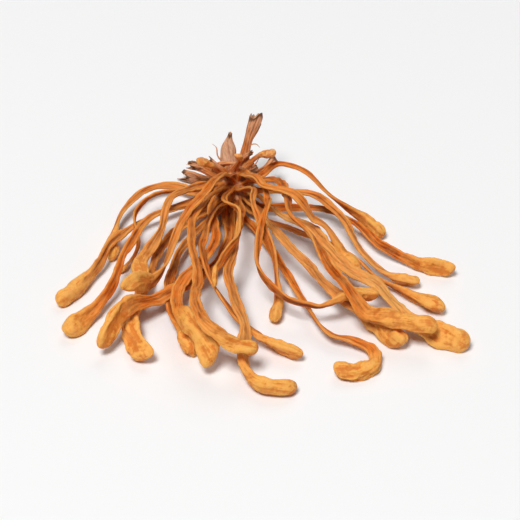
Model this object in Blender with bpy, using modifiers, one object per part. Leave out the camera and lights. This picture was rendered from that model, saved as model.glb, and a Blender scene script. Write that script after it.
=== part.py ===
"""A clump of dried cordyceps, lying down as picked.

Slender, twisted, flattened stems with blunt club heads are grown together at one knotted base
with torn feet and a few buds. The base is one piece, and each stem with its club is one piece,
parted from the base at its fork by a hair gap. Lengths here are millimetres, and become metres
when a mesh is made. +Z is up, and the clump rests on z = 0.
"""

import math
from dataclasses import dataclass

import bmesh
import bpy
import numpy as np
from mathutils import Vector, noise

MM = 0.001

# The knot's centre from the middle of the clump's footprint, and its height.
KNOT = np.array((-7.45, 33.45, 4.8))
KNOT_RADII = (5.8, 5.2, 5.6)

# Stems leave the knot in layers: how far from its centre they part, and at what height.
LAYERS = {"low": (9.4, 2.3), "mid": (9.2, 6.2), "top": (7.8, 10.0), "crown": (4.6, 12.6)}
RIB_START = 0.3  # where in the knot a stem's root begins, as a share of the way to its fork
RIB_SWELL = 1.8  # how much thicker the root is there than at the fork

AIR = 0.45  # air left between neighbours
STEP = 1.0  # spacing of the points along a stem's path
LIFT_REACH = 7.0  # how far along a stem its rise over another spreads
LIFT_SHARPNESS = 10.0  # how closely that rise follows what is needed
DOWN_BY = 0.94  # where along a stem its club has come down to the floor
KINK_RUN = 10.5  # about how far a stem runs straight before it bends
KINK_SIZE = 1.2  # how far the bends throw it sideways
KINK_EASE = 8.0  # the first stretch after the fork, over which they grow to that
WOBBLE = (0.12, 2.1)  # height and run of the small sideways waves
LIFTED_KINK = 0.12  # how far the bends throw it up, for each millimetre that it is off the floor
LIFTED_FROM, LIFTED_RANGE = 4.0, 8.0  # from which height, and over how much of it, they do

SIDES = 8  # sides of every section
STEM_RING_SPACING = 4.6
WIDENING = 0.35  # how much wider a stem has grown where its club begins, as a share
ROOT_SWELL, ROOT_RUN = 0.25, 9.0  # how much thicker it is at its fork, as a share, and for how far
WAVES = ((0.12, 4.3, 1.0), (0.07, 2.2, 2.0))  # share, run and phase of the waves in its width
CLUB_WAVE = (0.07, 1.9, 5.0)  # the same for its club
TWIST, TWIST_RUN = 26.0, 8.0  # how far it twists to and fro, in degrees, and over what run
CLUB_RINGS = 6  # between its neck and its rounded tip
TIP_RINGS = (1.0, 0.5, 0.14)  # shares of the rounded tip's length, from its end
FURROW = 0.34  # depth of the furrow along a stem, as a share of its half thickness
LUMP = 0.08  # height of a club's lumps, as a share of its radius
SPUR_FLATNESS = 0.72  # thickness of a foot or bud over its width
BASE_VOXEL = 0.42  # cell in which the base's branches are fused
BASE_DETAIL = 0.068  # share of the fused faces that is kept


@dataclass(frozen=True)
class Club:
    """The club head at a stem's end."""

    length: float
    width: float
    thickness: float
    full: float  # share of its length, from the tip, that has its full width
    tip: float  # length of its rounded tip in half widths: below 1 it is blunt, above it narrows


@dataclass(frozen=True)
class Stem:
    """One stem and its club head, by hand-chosen plan points from the knot's centre."""

    name: str
    layer: str
    azimuth: float  # direction in which it leaves the knot, degrees from +X towards +Y
    route: tuple  # plan points after the fork, the last at the tip
    crest: float  # highest point of its arch
    crest_at: float  # where along the stem that is, 0 to 1
    width: float
    thickness: float
    club: Club
    roll: tuple  # turn of the flat section at the fork and at the tip, degrees
    phase: float  # shifts its bends and waves


STEMS = (
    Stem("stem_left_back", "low", 176, ((-18, 1.5), (-26, -3), (-31, -11), (-33, -20), (-32, -27)),
         5.0, 0.4, 2.3, 1.1, Club(14, 4.8, 3.6, 0.30, 1.2), (10, -60), 0.4),
    Stem("stem_left_outer", "low", 199,
         ((-18, -7), (-27, -14), (-34, -24), (-38, -33), (-43, -40), (-48, -46)),
         4.5, 0.5, 2.6, 1.2, Club(19, 5.0, 3.8, 0.34, 1.1), (-20, 70), 1.7),
    Stem("stem_left_broad", "low", 221,
         ((-13, -14), (-19, -25), (-22, -37), (-25, -48), (-26, -58), (-22, -69)),
         4.0, 0.4, 3.0, 1.2, Club(26, 6.2, 3.9, 0.50, 0.8), (15, -30), 2.9),
    Stem("stem_left_round", "low", 241,
         ((-9, -15), (-14.5, -24), (-17.5, -36), (-18, -47), (-15, -57), (-11, -67)),
         3.6, 0.4, 2.3, 1.2, Club(15, 6.2, 4.9, 0.30, 1.1), (0, 80), 4.2),
    Stem("stem_ribbon_left", "low", 262,
         ((-1.5, -18), (-4, -29), (-10, -38), (-17, -45), (-25, -52), (-31, -59), (-35, -66)),
         4.2, 0.45, 3.6, 1.1, Club(21, 5.6, 3.5, 0.45, 1.4), (5, 55), 5.1),
    Stem("stem_curled", "low", 283,
         ((6, -19), (12, -32), (17, -44), (21, -54), (26, -61), (32, -62.5), (37, -66),
          (37, -71.5), (32, -74.5), (26.5, -74)),
         4.0, 0.4, 2.5, 1.3, Club(19, 4.9, 4.0, 0.50, 0.8), (-15, 40), 0.9),
    Stem("stem_right_low", "low", 304,
         ((13, -13), (23, -20), (33, -28), (40, -37), (48, -43), (57, -50)),
         4.0, 0.4, 2.6, 1.2, Club(18, 5.2, 4.1, 0.26, 1.5), (10, 95), 2.2),
    Stem("stem_right_outer", "low", 326,
         ((15, -8), (25, -10), (34, -16), (42, -25), (51, -30), (61, -33)),
         5.0, 0.45, 2.2, 1.1, Club(18, 4.7, 3.5, 0.42, 0.9), (0, -70), 3.6),
    Stem("stem_left_thin", "mid", 192, ((-13, -3), (-22, -7), (-27, -15), (-26, -24), (-30, -33)),
         8.0, 0.45, 1.6, 1.0, Club(8, 2.0, 1.4, 0.30, 2.4), (40, 130), 0.3),
    Stem("stem_left_arched", "mid", 214,
         ((-14, -12), (-23, -21), (-29, -33), (-33, -45), (-38, -53), (-43, -60)),
         10.5, 0.35, 2.4, 1.2, Club(16, 5.3, 4.4, 0.30, 1.0), (-10, 60), 1.1),
    Stem("stem_wrinkled", "mid", 236,
         ((-6.5, -17), (-5.5, -27), (-8.5, -37), (-14, -44), (-15.5, -54), (-12, -63), (-5, -73)),
         9.5, 0.35, 2.8, 1.3, Club(22, 6.3, 4.6, 0.58, 0.7), (20, -40), 2.5),
    Stem("stem_middle", "mid", 257,
         ((-6, -20), (-9, -34), (-6.5, -46), (-1, -55), (5, -61), (11, -65), (18, -69)),
         11.0, 0.4, 2.2, 1.1, Club(19, 5.2, 3.8, 0.34, 1.7), (-20, 75), 3.3),
    Stem("stem_bent_club", "mid", 278,
         ((2.2, -21), (1.9, -30), (0.5, -39), (-0.5, -45), (1.2, -52), (4, -60), (4.4, -66),
          (4.5, -73), (9, -78.5), (17, -79)),
         12.0, 0.3, 2.6, 1.3, Club(28, 5.3, 4.3, 0.30, 0.9), (0, 50), 4.6),
    Stem("stem_right_front", "mid", 299,
         ((8, -20), (13, -30), (21, -40), (29, -48), (37, -53), (46, -63)),
         11.0, 0.35, 2.5, 1.2, Club(20, 5.5, 4.1, 0.46, 0.8), (25, -45), 0.2),
    Stem("stem_ribbon_right", "mid", 320,
         ((10.5, -13), (16, -21), (22, -26), (26.5, -34), (32.7, -41.2), (39.4, -44.2),
          (43.4, -50.2), (50, -58), (62, -65)),
         12.5, 0.25, 3.5, 1.1, Club(25, 6.5, 4.4, 0.34, 1.1), (30, -35), 5.7),
    Stem("stem_right_arched", "mid", 342,
         ((15, -4), (24, -9), (31, -19), (36, -30), (44, -36), (51, -38)),
         11.0, 0.35, 2.1, 1.1, Club(14, 4.8, 3.8, 0.30, 1.4), (-30, 50), 1.4),
    Stem("stem_left_short", "top", 216, ((-11, -11), (-17, -17), (-20, -26), (-25, -35), (-24, -42)),
         15.0, 0.35, 2.2, 1.1, Club(13, 4.4, 3.6, 0.32, 1.1), (-15, 45), 4.9),
    Stem("stem_dimpled", "top", 240,
         ((-8.4, -18), (-11.5, -30), (-10.2, -40.6), (-8.8, -48), (-9.5, -57), (-8.1, -63.5),
          (-4.5, -69), (7, -71)),
         16.0, 0.3, 2.6, 1.3, Club(20, 5.6, 4.2, 0.30, 1.0), (-25, 35), 1.9),
    Stem("stem_thin", "top", 264, ((-1, -17), (3, -26), (2, -36), (-3, -43), (-4, -51)),
         17.5, 0.45, 1.7, 1.0, Club(8, 2.1, 1.5, 0.30, 2.6), (0, 110), 3.9),
    Stem("stem_short", "top", 287, ((5, -16), (6, -27), (11, -36), (13, -46), (12, -54)),
         19.0, 0.4, 2.1, 1.1, Club(13, 4.2, 3.6, 0.28, 1.3), (15, -60), 5.4),
    Stem("stem_kinked", "top", 310,
         ((8.6, -16), (9.2, -24), (8.6, -29.5), (6.6, -36.5), (6.6, -42.5), (9.9, -48),
          (15.3, -52.4), (20.6, -54.3), (27, -53.8), (33, -51.5), (39, -50)),
         16.0, 0.2, 2.2, 1.1, Club(17, 4.6, 3.8, 0.48, 0.8), (-10, 80), 0.7),
    Stem("stem_long_club", "top", 333,
         ((12, -12), (14, -21), (15.3, -29), (21.5, -36.5), (27.5, -47.5), (33.5, -55.5),
          (42.5, -58.8), (54, -60.2)),
         18.0, 0.3, 2.7, 1.2, Club(28, 5.2, 4.3, 0.32, 1.1), (20, -30), 2.7),
    Stem("stem_right_short", "top", 357, ((13, -1), (21, -7), (28, -11), (37, -12), (43, -17)),
         16.0, 0.3, 2.0, 1.1, Club(14, 4.5, 3.7, 0.36, 1.0), (0, 70), 2.0),
    Stem("stem_crown_right", "crown", 300, ((6, -12), (9, -20), (18, -25), (26, -28), (34, -37)),
         20.0, 0.35, 2.5, 1.1, Club(16, 4.8, 3.8, 0.28, 1.5), (-20, 60), 5.0),
    Stem("stem_crown_left", "crown", 248, ((-3, -12), (-6, -22), (-14, -31), (-19, -42), (-28, -52)),
         22.0, 0.3, 2.4, 1.2, Club(17, 5.3, 4.1, 0.44, 0.8), (10, -70), 3.0),
)


@dataclass(frozen=True)
class Spur:
    """A short branch of the base, along points from the knot's centre on the floor."""

    points: tuple
    root: float  # radius in the knot
    waist: float  # radius at its narrowest
    end: float  # radius at its end


# Old feet, torn where they stood.
FEET = (
    Spur(((0.5, 0.5, 6.0), (2.5, 3.5, 11.0), (4.0, 7.0, 16.5), (6.5, 10.5, 22.6)), 2.6, 1.3, 2.1),
    Spur(((-0.5, 1.0, 7.0), (-1.5, 4.5, 11.5), (-1.5, 6.5, 15.5), (-1.0, 7.5, 19.0)), 3.0, 2.3, 0.6),
    Spur(((-1.5, 0.5, 6.5), (-6.0, 2.0, 8.5), (-9.5, 3.0, 10.0), (-12.5, 3.2, 11.0)), 2.4, 1.4, 1.6),
    Spur(((-2.0, 1.5, 4.0), (-7.0, 5.5, 2.8), (-11.0, 8.5, 2.0), (-14.5, 10.5, 1.6)), 3.0, 1.8, 2.0),
    Spur(((1.0, 1.5, 4.0), (3.0, 6.0, 3.0), (4.0, 10.0, 2.2), (4.5, 14.0, 1.9)), 3.2, 2.1, 2.4),
    Spur(((1.5, 1.0, 5.5), (6.0, 3.5, 7.0), (9.5, 5.5, 8.0), (11.5, 8.5, 8.5)), 2.4, 1.3, 1.6),
)

# Small fruit bodies that stayed buds, with round tips.
BUDS = (
    Spur(((-1.0, -0.5, 8.0), (-4.0, -2.5, 13.0), (-6.0, -5.0, 17.0), (-9.0, -6.5, 19.5)), 1.9, 0.9, 1.5),
    Spur(((1.0, 0.0, 8.0), (4.0, 0.5, 13.0), (7.5, 0.5, 16.5), (10.5, -1.5, 18.5)), 1.8, 0.9, 1.6),
    Spur(((0.0, -1.0, 9.0), (0.5, -2.0, 14.0), (2.0, -4.5, 18.5), (1.5, -7.5, 22.0)), 1.7, 0.8, 1.3),
)


def eased(u):
    """0 to 1 with a level start and end."""
    u = np.clip(u, 0.0, 1.0)
    return u * u * (3.0 - 2.0 * u)


def distance_along(path):
    """Distance of each point from the start of the path."""
    steps = np.linalg.norm(np.diff(path, axis=0), axis=1)
    return np.concatenate(((0.0,), np.cumsum(steps)))


def at_distances(values, along, stops):
    """The columns of values, read at other distances along the same path."""
    return np.column_stack([np.interp(stops, along, column) for column in values.T])


def smooth_curve(points, spacing):
    """Points every `spacing` along a smooth curve through the given ones (a Catmull-Rom spline)."""
    knots = np.vstack((2 * points[0] - points[1], points, 2 * points[-1] - points[-2]))
    u = np.linspace(0.0, 1.0, 40, endpoint=False)[:, None]
    spans = []
    for a, b, c, d in zip(knots[:-3], knots[1:-2], knots[2:-1], knots[3:]):
        bend = (2 * a - 5 * b + 4 * c - d) * u**2 + (3 * b - a - 3 * c + d) * u**3
        spans.append(b + 0.5 * ((c - a) * u + bend))
    curve = np.vstack(spans + [points[-1:]])
    along = distance_along(curve)
    count = max(int(round(along[-1] / spacing)), 2)
    return at_distances(curve, along, np.linspace(0.0, along[-1], count + 1))


def arch_height(stem, u, start):
    """Rises from the fork to the crest, then comes down until the club lies on the floor."""
    rest = 0.5 * stem.club.thickness + 0.1
    rise = (stem.crest - start) * np.sin(0.5 * math.pi * np.clip(u / stem.crest_at, 0, 1))
    fall = (rest - stem.crest) * eased((u - stem.crest_at) / (DOWN_BY - stem.crest_at))
    return start + rise + fall


def kinks(along, phase):
    """Offsets from -1 to 1 that run straight between unevenly spaced bends."""
    count = np.arange(int(along[-1] / KINK_RUN) + 2)
    places = KINK_RUN * (count + 0.35 * np.sin(4.7 * count + 3.1 * phase))
    return np.interp(along, places, np.sin(12.99 * count + 7.3 * phase))


def with_kinks(stem, path, fork_at):
    """Adds the bends and small waves that drying leaves: none at the fork, and upwards only in
    the air."""
    along = distance_along(path)
    heading = np.gradient(path[:, :2], axis=0)
    heading /= np.linalg.norm(heading, axis=1)[:, None]
    across = np.column_stack((-heading[:, 1], heading[:, 0]))
    size = eased((along - fork_at) / KINK_EASE)
    wobble = WOBBLE[0] * np.sin(along / WOBBLE[1] + 2.3 * stem.phase)
    sideways = KINK_SIZE * kinks(along, stem.phase) + wobble
    lifted = LIFTED_KINK * np.clip(path[:, 2] - LIFTED_FROM, 0.0, LIFTED_RANGE)
    upwards = lifted * kinks(along, stem.phase + 1.7)
    kinked = path.copy()
    kinked[:, :2] += across * (sideways * size)[:, None]
    kinked[:, 2] += upwards * size
    return kinked


def section_at(stem, path, fork_at):
    """Half width, half thickness, roll and share of club of the section at each point."""
    along = distance_along(path)
    from_tip = along[-1] - along
    u = np.clip((along - fork_at) / (along[-1] - fork_at), 0.0, 1.0)
    club = stem.club
    neck = np.clip((from_tip / club.length - club.full) / (1.0 - club.full), 0.0, 1.0)
    swell = 1.0 - 0.5 * (neck + eased(neck))
    root = 1.0 + ROOT_SWELL * (1.0 - eased((along - fork_at) / ROOT_RUN))
    waves = 1.0 + sum(size * np.sin(along / run + turn * stem.phase) for size, run, turn in WAVES)
    growth = 1.0 + WIDENING * eased((u - 0.3) / 0.5)
    size, run, turn = CLUB_WAVE
    lumps = 1.0 + size * np.sin(from_tip / run + turn * stem.phase)
    half_width = 0.5 * (stem.width * waves * growth * root * (1 - swell) + club.width * lumps * swell)
    half_thickness = 0.5 * (stem.thickness / waves * root * (1 - swell) + club.thickness * swell)
    to_tip = np.clip(from_tip / (0.5 * club.width * club.tip), 0.0, 1.0)
    rounding = np.sqrt(1.0 - (1.0 - to_tip) ** 2)
    turning = TWIST * np.sin(along / TWIST_RUN + stem.phase)
    roll = np.radians(stem.roll[0] + (stem.roll[1] - stem.roll[0]) * u + turning)
    return half_width * rounding, half_thickness * rounding, roll, swell


def side_and_up(half_width, half_thickness, roll):
    """How far a rolled oval section reaches sideways and upwards."""
    side = np.hypot(half_width * np.cos(roll), half_thickness * np.sin(roll))
    up = np.hypot(half_width * np.sin(roll), half_thickness * np.cos(roll))
    return side, up


def rise_over(path, reach, fork_at, earlier):
    """How far each point has to rise so that the stem clears the floor and those laid before it.

    The height needed over each earlier point is that of an oval hump as wide and high as the two
    sections together. Each need spreads along the stem as a bell, and the bells are joined by a
    smooth maximum, which never falls below any need.
    """
    along = distance_along(path)
    needed = np.maximum(reach[1] - path[:, 2], 0.0)
    for other, other_reach in earlier:
        apart = np.linalg.norm(path[:, None, :2] - other[None, :, :2], axis=2)
        side = reach[0][:, None] + other_reach[0][None, :] + AIR
        up = reach[1][:, None] + other_reach[1][None, :] + AIR
        top = other[None, :, 2] + up * np.sqrt(np.clip(1.0 - (apart / side) ** 2, 0.0, 1.0))
        gap = np.where(apart < side, top - path[:, None, 2], 0.0)
        needed = np.maximum(needed, gap.max(axis=1))
    needed *= eased((along - fork_at) / 4.0)
    bells = needed * np.exp(-(((along[:, None] - along[None, :]) / LIFT_REACH) ** 2))
    peak = max(bells.max(), 1e-9)
    joined = np.sum((bells / peak) ** LIFT_SHARPNESS, axis=1)
    return peak * joined ** (1.0 / LIFT_SHARPNESS)


def laid_paths():
    """Each stem with its path and its fork's distance along it, laid in order, so that later
    stems pass over earlier ones."""
    laid = []
    earlier = []
    for stem in STEMS:
        fork_reach, fork_height = LAYERS[stem.layer]
        heading = math.radians(stem.azimuth)
        fork = fork_reach * np.array((math.cos(heading), math.sin(heading)))
        plan = np.vstack((RIB_START * fork, fork, stem.route))
        along = distance_along(plan)
        heights = arch_height(stem, (along - along[1]) / (along[-1] - along[1]), fork_height)
        heights[0] = 0.5 * (KNOT[2] + fork_height)
        path = smooth_curve(np.column_stack((plan, heights)), STEP)
        fork_at = STEP * np.argmin(np.linalg.norm(path[:, :2] - fork, axis=1))
        path = with_kinks(stem, path, fork_at)
        reach = side_and_up(*section_at(stem, path, fork_at)[:3])
        path[:, 2] += rise_over(path, reach, fork_at, earlier)
        earlier.append((path, reach))
        laid.append((stem, path, fork_at))
    return laid


def frames_along(path):
    """Unit tangent, level side and upward normal at each point."""
    tangent = np.gradient(path, axis=0)
    tangent /= np.linalg.norm(tangent, axis=1)[:, None]
    side = np.cross(tangent, (0.0, 0.0, 1.0))
    side /= np.linalg.norm(side, axis=1)[:, None]
    return tangent, side, np.cross(side, tangent)


def around():
    """The angles of a section's points."""
    return 2.0 * math.pi * np.arange(SIDES) / SIDES


def stem_rings(stem, path, fork_at, stops):
    """Rings of points round the stem at the given distances: a flat oval with a furrow along
    each broad face, that fills out to the lumpy round club."""
    _, side, up = frames_along(path)
    section = np.column_stack(section_at(stem, path, fork_at))
    rows = at_distances(np.column_stack((path, side, up, section)), distance_along(path), stops)
    centre, side, up = rows[:, None, 0:3], rows[:, None, 3:6], rows[:, None, 6:9]
    half_width, half_thickness, roll, swell = rows[:, 9:].T[:, :, None]
    angle = around()[None, :]
    furrow = 1.0 - FURROW * (1.0 - swell) * np.abs(np.sin(angle)) ** 6
    lump = 1.0 + LUMP * swell * np.sin(2.0 * angle + stops[:, None] / 2.2 + stem.phase)
    across = half_width * np.cos(angle) * lump
    over = half_thickness * np.sin(angle) * furrow * lump
    sideways = across * np.cos(roll) - over * np.sin(roll)
    upwards = across * np.sin(roll) + over * np.cos(roll)
    return centre + sideways[..., None] * side + upwards[..., None] * up


def spur_rings(spur):
    """The tangent at a spur's end and its flattened rings, that narrow and then widen."""
    path = smooth_curve(np.array(spur.points), 2.0)
    along = distance_along(path)
    u = along / along[-1]
    narrowing = spur.root + (spur.waist - spur.root) * eased(u / 0.6)
    radius = narrowing + (spur.end - spur.waist) * eased((u - 0.6) / 0.4)
    tangent, side, up = frames_along(path)
    across = np.cos(around())[None, :, None] * side[:, None, :]
    over = SPUR_FLATNESS * np.sin(around())[None, :, None] * up[:, None, :]
    return tangent[-1], path[:, None, :] + radius[:, None, None] * (across + over)


def add_loft(mesh, rings, tip=None):
    """Faces over a row of rings, with a flat cap at the start and a tip or a cap at the end."""
    rows = [[mesh.verts.new(point) for point in ring] for ring in rings]
    for first, second in zip(rows[:-1], rows[1:]):
        for k in range(SIDES):
            after = (k + 1) % SIDES
            mesh.faces.new((first[k], first[after], second[after], second[k]))
    mesh.faces.new(rows[0][::-1])
    if tip is None:
        mesh.faces.new(rows[-1])
        return
    point = mesh.verts.new(tip)
    for k in range(SIDES):
        mesh.faces.new((rows[-1][k], rows[-1][(k + 1) % SIDES], point))


def new_object(name, mesh, collection, material):
    """An object of the mesh, in metres, with the middle of the clump's footprint at the origin."""
    bmesh.ops.translate(mesh, verts=mesh.verts, vec=(KNOT[0], KNOT[1], 0.0))
    bmesh.ops.scale(mesh, verts=mesh.verts, vec=(MM, MM, MM))
    bmesh.ops.recalc_face_normals(mesh, faces=mesh.faces)
    data = bpy.data.meshes.new(name)
    mesh.to_mesh(data)
    mesh.free()
    data.materials.append(material)
    data.shade_smooth()
    data.set_sharp_from_angle(angle=math.radians(50))
    obj = bpy.data.objects.new(name, data)
    collection.objects.link(obj)
    return obj


def make_stem(stem, path, fork_at, collection, material):
    """The stem from its fork to the tip of its club, flat where it would pass below the floor."""
    length = distance_along(path)[-1]
    start = fork_at + AIR
    neck = length - stem.club.length
    count = max(int(round((neck - start) / STEM_RING_SPACING)), 2)
    stem_stops = np.linspace(start, neck, count, endpoint=False)
    rounded = 0.5 * stem.club.width * stem.club.tip
    club_stops = np.linspace(neck, length - rounded, CLUB_RINGS, endpoint=False)
    tip_stops = length - rounded * np.array(TIP_RINGS)
    stops = np.concatenate((stem_stops, club_stops, tip_stops))
    rings = stem_rings(stem, path, fork_at, stops)
    rings[..., 2] = np.maximum(rings[..., 2], 0.0)
    mesh = bmesh.new()
    add_loft(mesh, rings, path[-1])
    return new_object(stem.name, mesh, collection, material)


def add_rib(mesh, stem, path, fork_at):
    """The stem's root, from inside the knot to the fork."""
    stops = np.linspace(0.0, fork_at - AIR, 4)
    rings = stem_rings(stem, path, fork_at, stops)
    centre = rings.mean(axis=1, keepdims=True)
    swell = np.linspace(RIB_SWELL, 1.0, len(stops))[:, None, None]
    add_loft(mesh, centre + (rings - centre) * swell)


def add_foot(mesh, foot, number):
    """A foot with a torn, uneven end."""
    tangent, rings = spur_rings(foot)
    torn = 0.45 * np.sin(3 * around() + number) + 0.3 * np.sin(2 * around() + 2 * number)
    rings[-1] += foot.end * torn[:, None] * tangent
    add_loft(mesh, rings)


def add_bud(mesh, bud):
    """A bud with a round tip."""
    tangent, rings = spur_rings(bud)
    centre = rings[-1].mean(axis=0)
    dome = [
        centre + (rings[-1] - centre) * math.cos(turn) + tangent * bud.end * math.sin(turn)
        for turn in (0.6, 1.15)
    ]
    add_loft(mesh, np.concatenate((rings, dome)), centre + tangent * bud.end)


def add_knot(mesh):
    """The lumpy knot in which the stems and feet join."""
    bmesh.ops.create_icosphere(mesh, subdivisions=3, radius=1.0)
    for vert in mesh.verts:
        bump = 1.0 + 0.12 * noise.noise(vert.co * 2.3)
        vert.co = Vector(vert.co[k] * KNOT_RADII[k] * bump for k in range(3))
        vert.co.z += KNOT[2]


def make_base(laid, collection, cutters, material):
    """The knot, the roots of the stems, the feet and the buds, fused and flat underneath."""
    mesh = bmesh.new()
    add_knot(mesh)
    for stem, path, fork_at in laid:
        add_rib(mesh, stem, path, fork_at)
    for number, foot in enumerate(FEET):
        add_foot(mesh, foot, number)
    for bud in BUDS:
        add_bud(mesh, bud)
    base = new_object("base", mesh, collection, material)
    fuse = base.modifiers.new("fuse", "REMESH")
    fuse.mode = "VOXEL"
    fuse.voxel_size = BASE_VOXEL * MM
    fuse.use_smooth_shade = True
    thin = base.modifiers.new("thin", "DECIMATE")
    thin.ratio = BASE_DETAIL
    flat = base.modifiers.new("flat underside", "BOOLEAN")
    flat.operation = "DIFFERENCE"
    flat.object = make_floor_cutter(cutters)
    return base


def make_floor_cutter(cutters):
    """A slab below the floor, which flattens what would pass below it."""
    bpy.ops.mesh.primitive_cube_add(size=1.0, location=(0.0, 0.0, -0.01))
    cutter = bpy.context.active_object
    cutter.name = "floor_cutter"
    cutter.scale = (0.2, 0.2, 0.02)
    cutter.hide_render = True
    cutter.display_type = "WIRE"
    for collection in list(cutter.users_collection):
        collection.objects.unlink(cutter)
    cutters.objects.link(cutter)
    return cutter


def new_material(name, colour, roughness):
    """A plain dry finish."""
    material = bpy.data.materials.new(name)
    material.use_nodes = True
    shader = material.node_tree.nodes["Principled BSDF"]
    shader.inputs["Base Color"].default_value = (*colour, 1.0)
    shader.inputs["Roughness"].default_value = roughness
    shader.inputs["Metallic"].default_value = 0.0
    return material


def new_collection(name):
    """A collection of the scene."""
    collection = bpy.data.collections.new(name)
    bpy.context.scene.collection.children.link(collection)
    return collection


def main():
    """Clears the scene and builds the clump."""
    for obj in list(bpy.data.objects):
        bpy.data.objects.remove(obj, do_unlink=True)
    clump = new_collection("dried_cordyceps")
    cutters = new_collection("cutters")
    stem_material = new_material("dried_stem", (0.62, 0.24, 0.05), 0.6)
    base_material = new_material("dried_base", (0.5, 0.19, 0.05), 0.7)
    laid = laid_paths()
    make_base(laid, clump, cutters, base_material)
    for stem, path, fork_at in laid:
        make_stem(stem, path, fork_at, clump, stem_material)


main()
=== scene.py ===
"""The looks of a clump of dried cordyceps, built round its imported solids.

Each stem with its club is a fine loft on the path that its solid follows, and the base is a fused
core with its torn feet and buds lofted out of it. Shapes are worked out in millimetres and become
metres when a mesh is made. +Z is up, and the clump lies on z = 0.
"""

from __future__ import annotations

import logging
import math
from dataclasses import dataclass, field
from enum import Enum, IntEnum

import bpy
import numpy as np
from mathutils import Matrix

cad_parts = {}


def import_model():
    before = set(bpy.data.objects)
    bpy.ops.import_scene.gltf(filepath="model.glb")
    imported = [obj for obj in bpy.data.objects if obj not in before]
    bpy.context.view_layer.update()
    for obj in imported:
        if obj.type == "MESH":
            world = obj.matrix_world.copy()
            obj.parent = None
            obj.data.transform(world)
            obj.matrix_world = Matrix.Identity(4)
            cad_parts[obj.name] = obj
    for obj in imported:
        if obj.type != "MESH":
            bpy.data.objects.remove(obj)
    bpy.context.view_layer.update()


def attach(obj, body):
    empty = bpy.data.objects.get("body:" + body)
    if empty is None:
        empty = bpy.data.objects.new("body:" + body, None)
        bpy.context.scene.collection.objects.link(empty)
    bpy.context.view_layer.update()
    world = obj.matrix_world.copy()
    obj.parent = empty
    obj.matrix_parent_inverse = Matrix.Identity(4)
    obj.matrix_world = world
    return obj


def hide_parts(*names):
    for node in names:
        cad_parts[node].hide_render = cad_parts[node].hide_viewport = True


log = logging.getLogger("dried_cordyceps")

MM = 0.001
TINY = 1e-9  # keeps a division from failing at zero

# The clump's build, as its solids have it, in millimetres.
KNOT = np.array((-7.45, 33.45, 4.8))  # the knot's centre from the middle of the clump's footprint
KNOT_RADII = np.array((5.8, 5.2, 5.6))
RIB_START = 0.3  # where in the knot a stem's root begins, as a share of the way to its fork
AIR = 0.45  # air left between neighbours
FLOOR_AIR = 0.1  # air left below a club
STEP = 1.0  # spacing of the points along a stem's path
LIFT_REACH = 7.0  # how far along a stem its rise over another spreads
LIFT_SHARPNESS = 10.0  # how closely that rise follows what is needed
LIFT_EASE = 4.0  # the first stretch after the fork, over which it may begin
DOWN_BY = 0.94  # where along a stem its club has come down to the floor
KINK_RUN = 10.5  # about how far a stem runs straight before it bends
KINK_SIZE = 1.2  # how far the bends throw it sideways
KINK_EASE = 8.0  # the first stretch after the fork, over which they grow to that
WOBBLE = (0.12, 2.1, 2.3)  # height, run and phase of the small sideways waves
LIFTED_KINK = 0.12  # how far the bends throw it up, for each millimetre that it is off the floor
LIFTED_FROM, LIFTED_RANGE = 4.0, 8.0  # from which height, and over how much of it, they do
LIFTED_SHIFT = 1.7  # how far the phase of the upward bends is from that of the sideways ones
WIDENING = 0.35  # how much wider a stem has grown where its club begins, as a share
WIDENING_FROM, WIDENING_RANGE = 0.3, 0.5  # where along the stem it starts, and over how much
ROOT_SWELL, ROOT_RUN = 0.25, 9.0  # how much thicker it is at its fork, as a share, and for how far
WAVES = ((0.12, 4.3, 1.0), (0.07, 2.2, 2.0))  # share, run and phase of the waves in its width
CLUB_WAVE = (0.07, 1.9, 5.0)  # the same for its club
TWIST, TWIST_RUN = 26.0, 8.0  # how far it twists to and fro, in degrees, and over what run
SPUR_FLATNESS = 0.72  # thickness of a foot or bud over its width

# How finely the skins are drawn, in millimetres and points.
RING = 0.3
TIP_ZONE = 1.2  # the last stretch before a tip, where the rings draw closer
TIP_RINGS = 9
AROUND = 44
CORE_VOXEL = 0.3
SPAN_POINTS = 40  # points on a curve between two that were given
WEB_SIDES = 16
WEB_PROUD = 1.02  # how much wider than the skin the roots in the core are, so that they cover it

# The pattern of the fibres, which the strands and the finish read.
STEM_FIBRE_RUN, SPUR_FIBRE_RUN = 14.0, 6.0  # how far one unit of it runs along a stem or a spur
STEM_STRANDS, SPUR_STRANDS = (2.4, 2.4, 4.0), (2.4, 2.4, 3.0)  # strands in a unit of it
FIBRE_SHIFT = 11.0  # how far apart in it two pieces of a kind lie
FOOT_FIBRES, BUD_FIBRES, STRAND_FIBRES, CORE_FIBRES = 400.0, 600.0, 800.0, 900.0  # where each starts


class Layer(Enum):
    """The layer in which a stem leaves the knot: how far out it parts, and at what height."""

    LOW = (9.4, 2.3)
    MID = (9.2, 6.2)
    TOP = (7.8, 10.0)
    CROWN = (4.6, 12.6)


@dataclass(frozen=True)
class Relief:
    """What drying did to a club, heights in millimetres."""

    sunken: float  # how far the broad faces have fallen in, as a share of the thickness
    ridges: float  # height of the long ridges between its flat faces, as a share of its radius
    swells: float  # broad uneven swells
    folds: float  # folds along the club
    wrinkles: float  # sharp ridges with hollows between
    dimples: float  # depth of the soft dimples
    grain: float  # height of the fine grain
    scar: float = 0.0  # depth of the round scar near the tip


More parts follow.
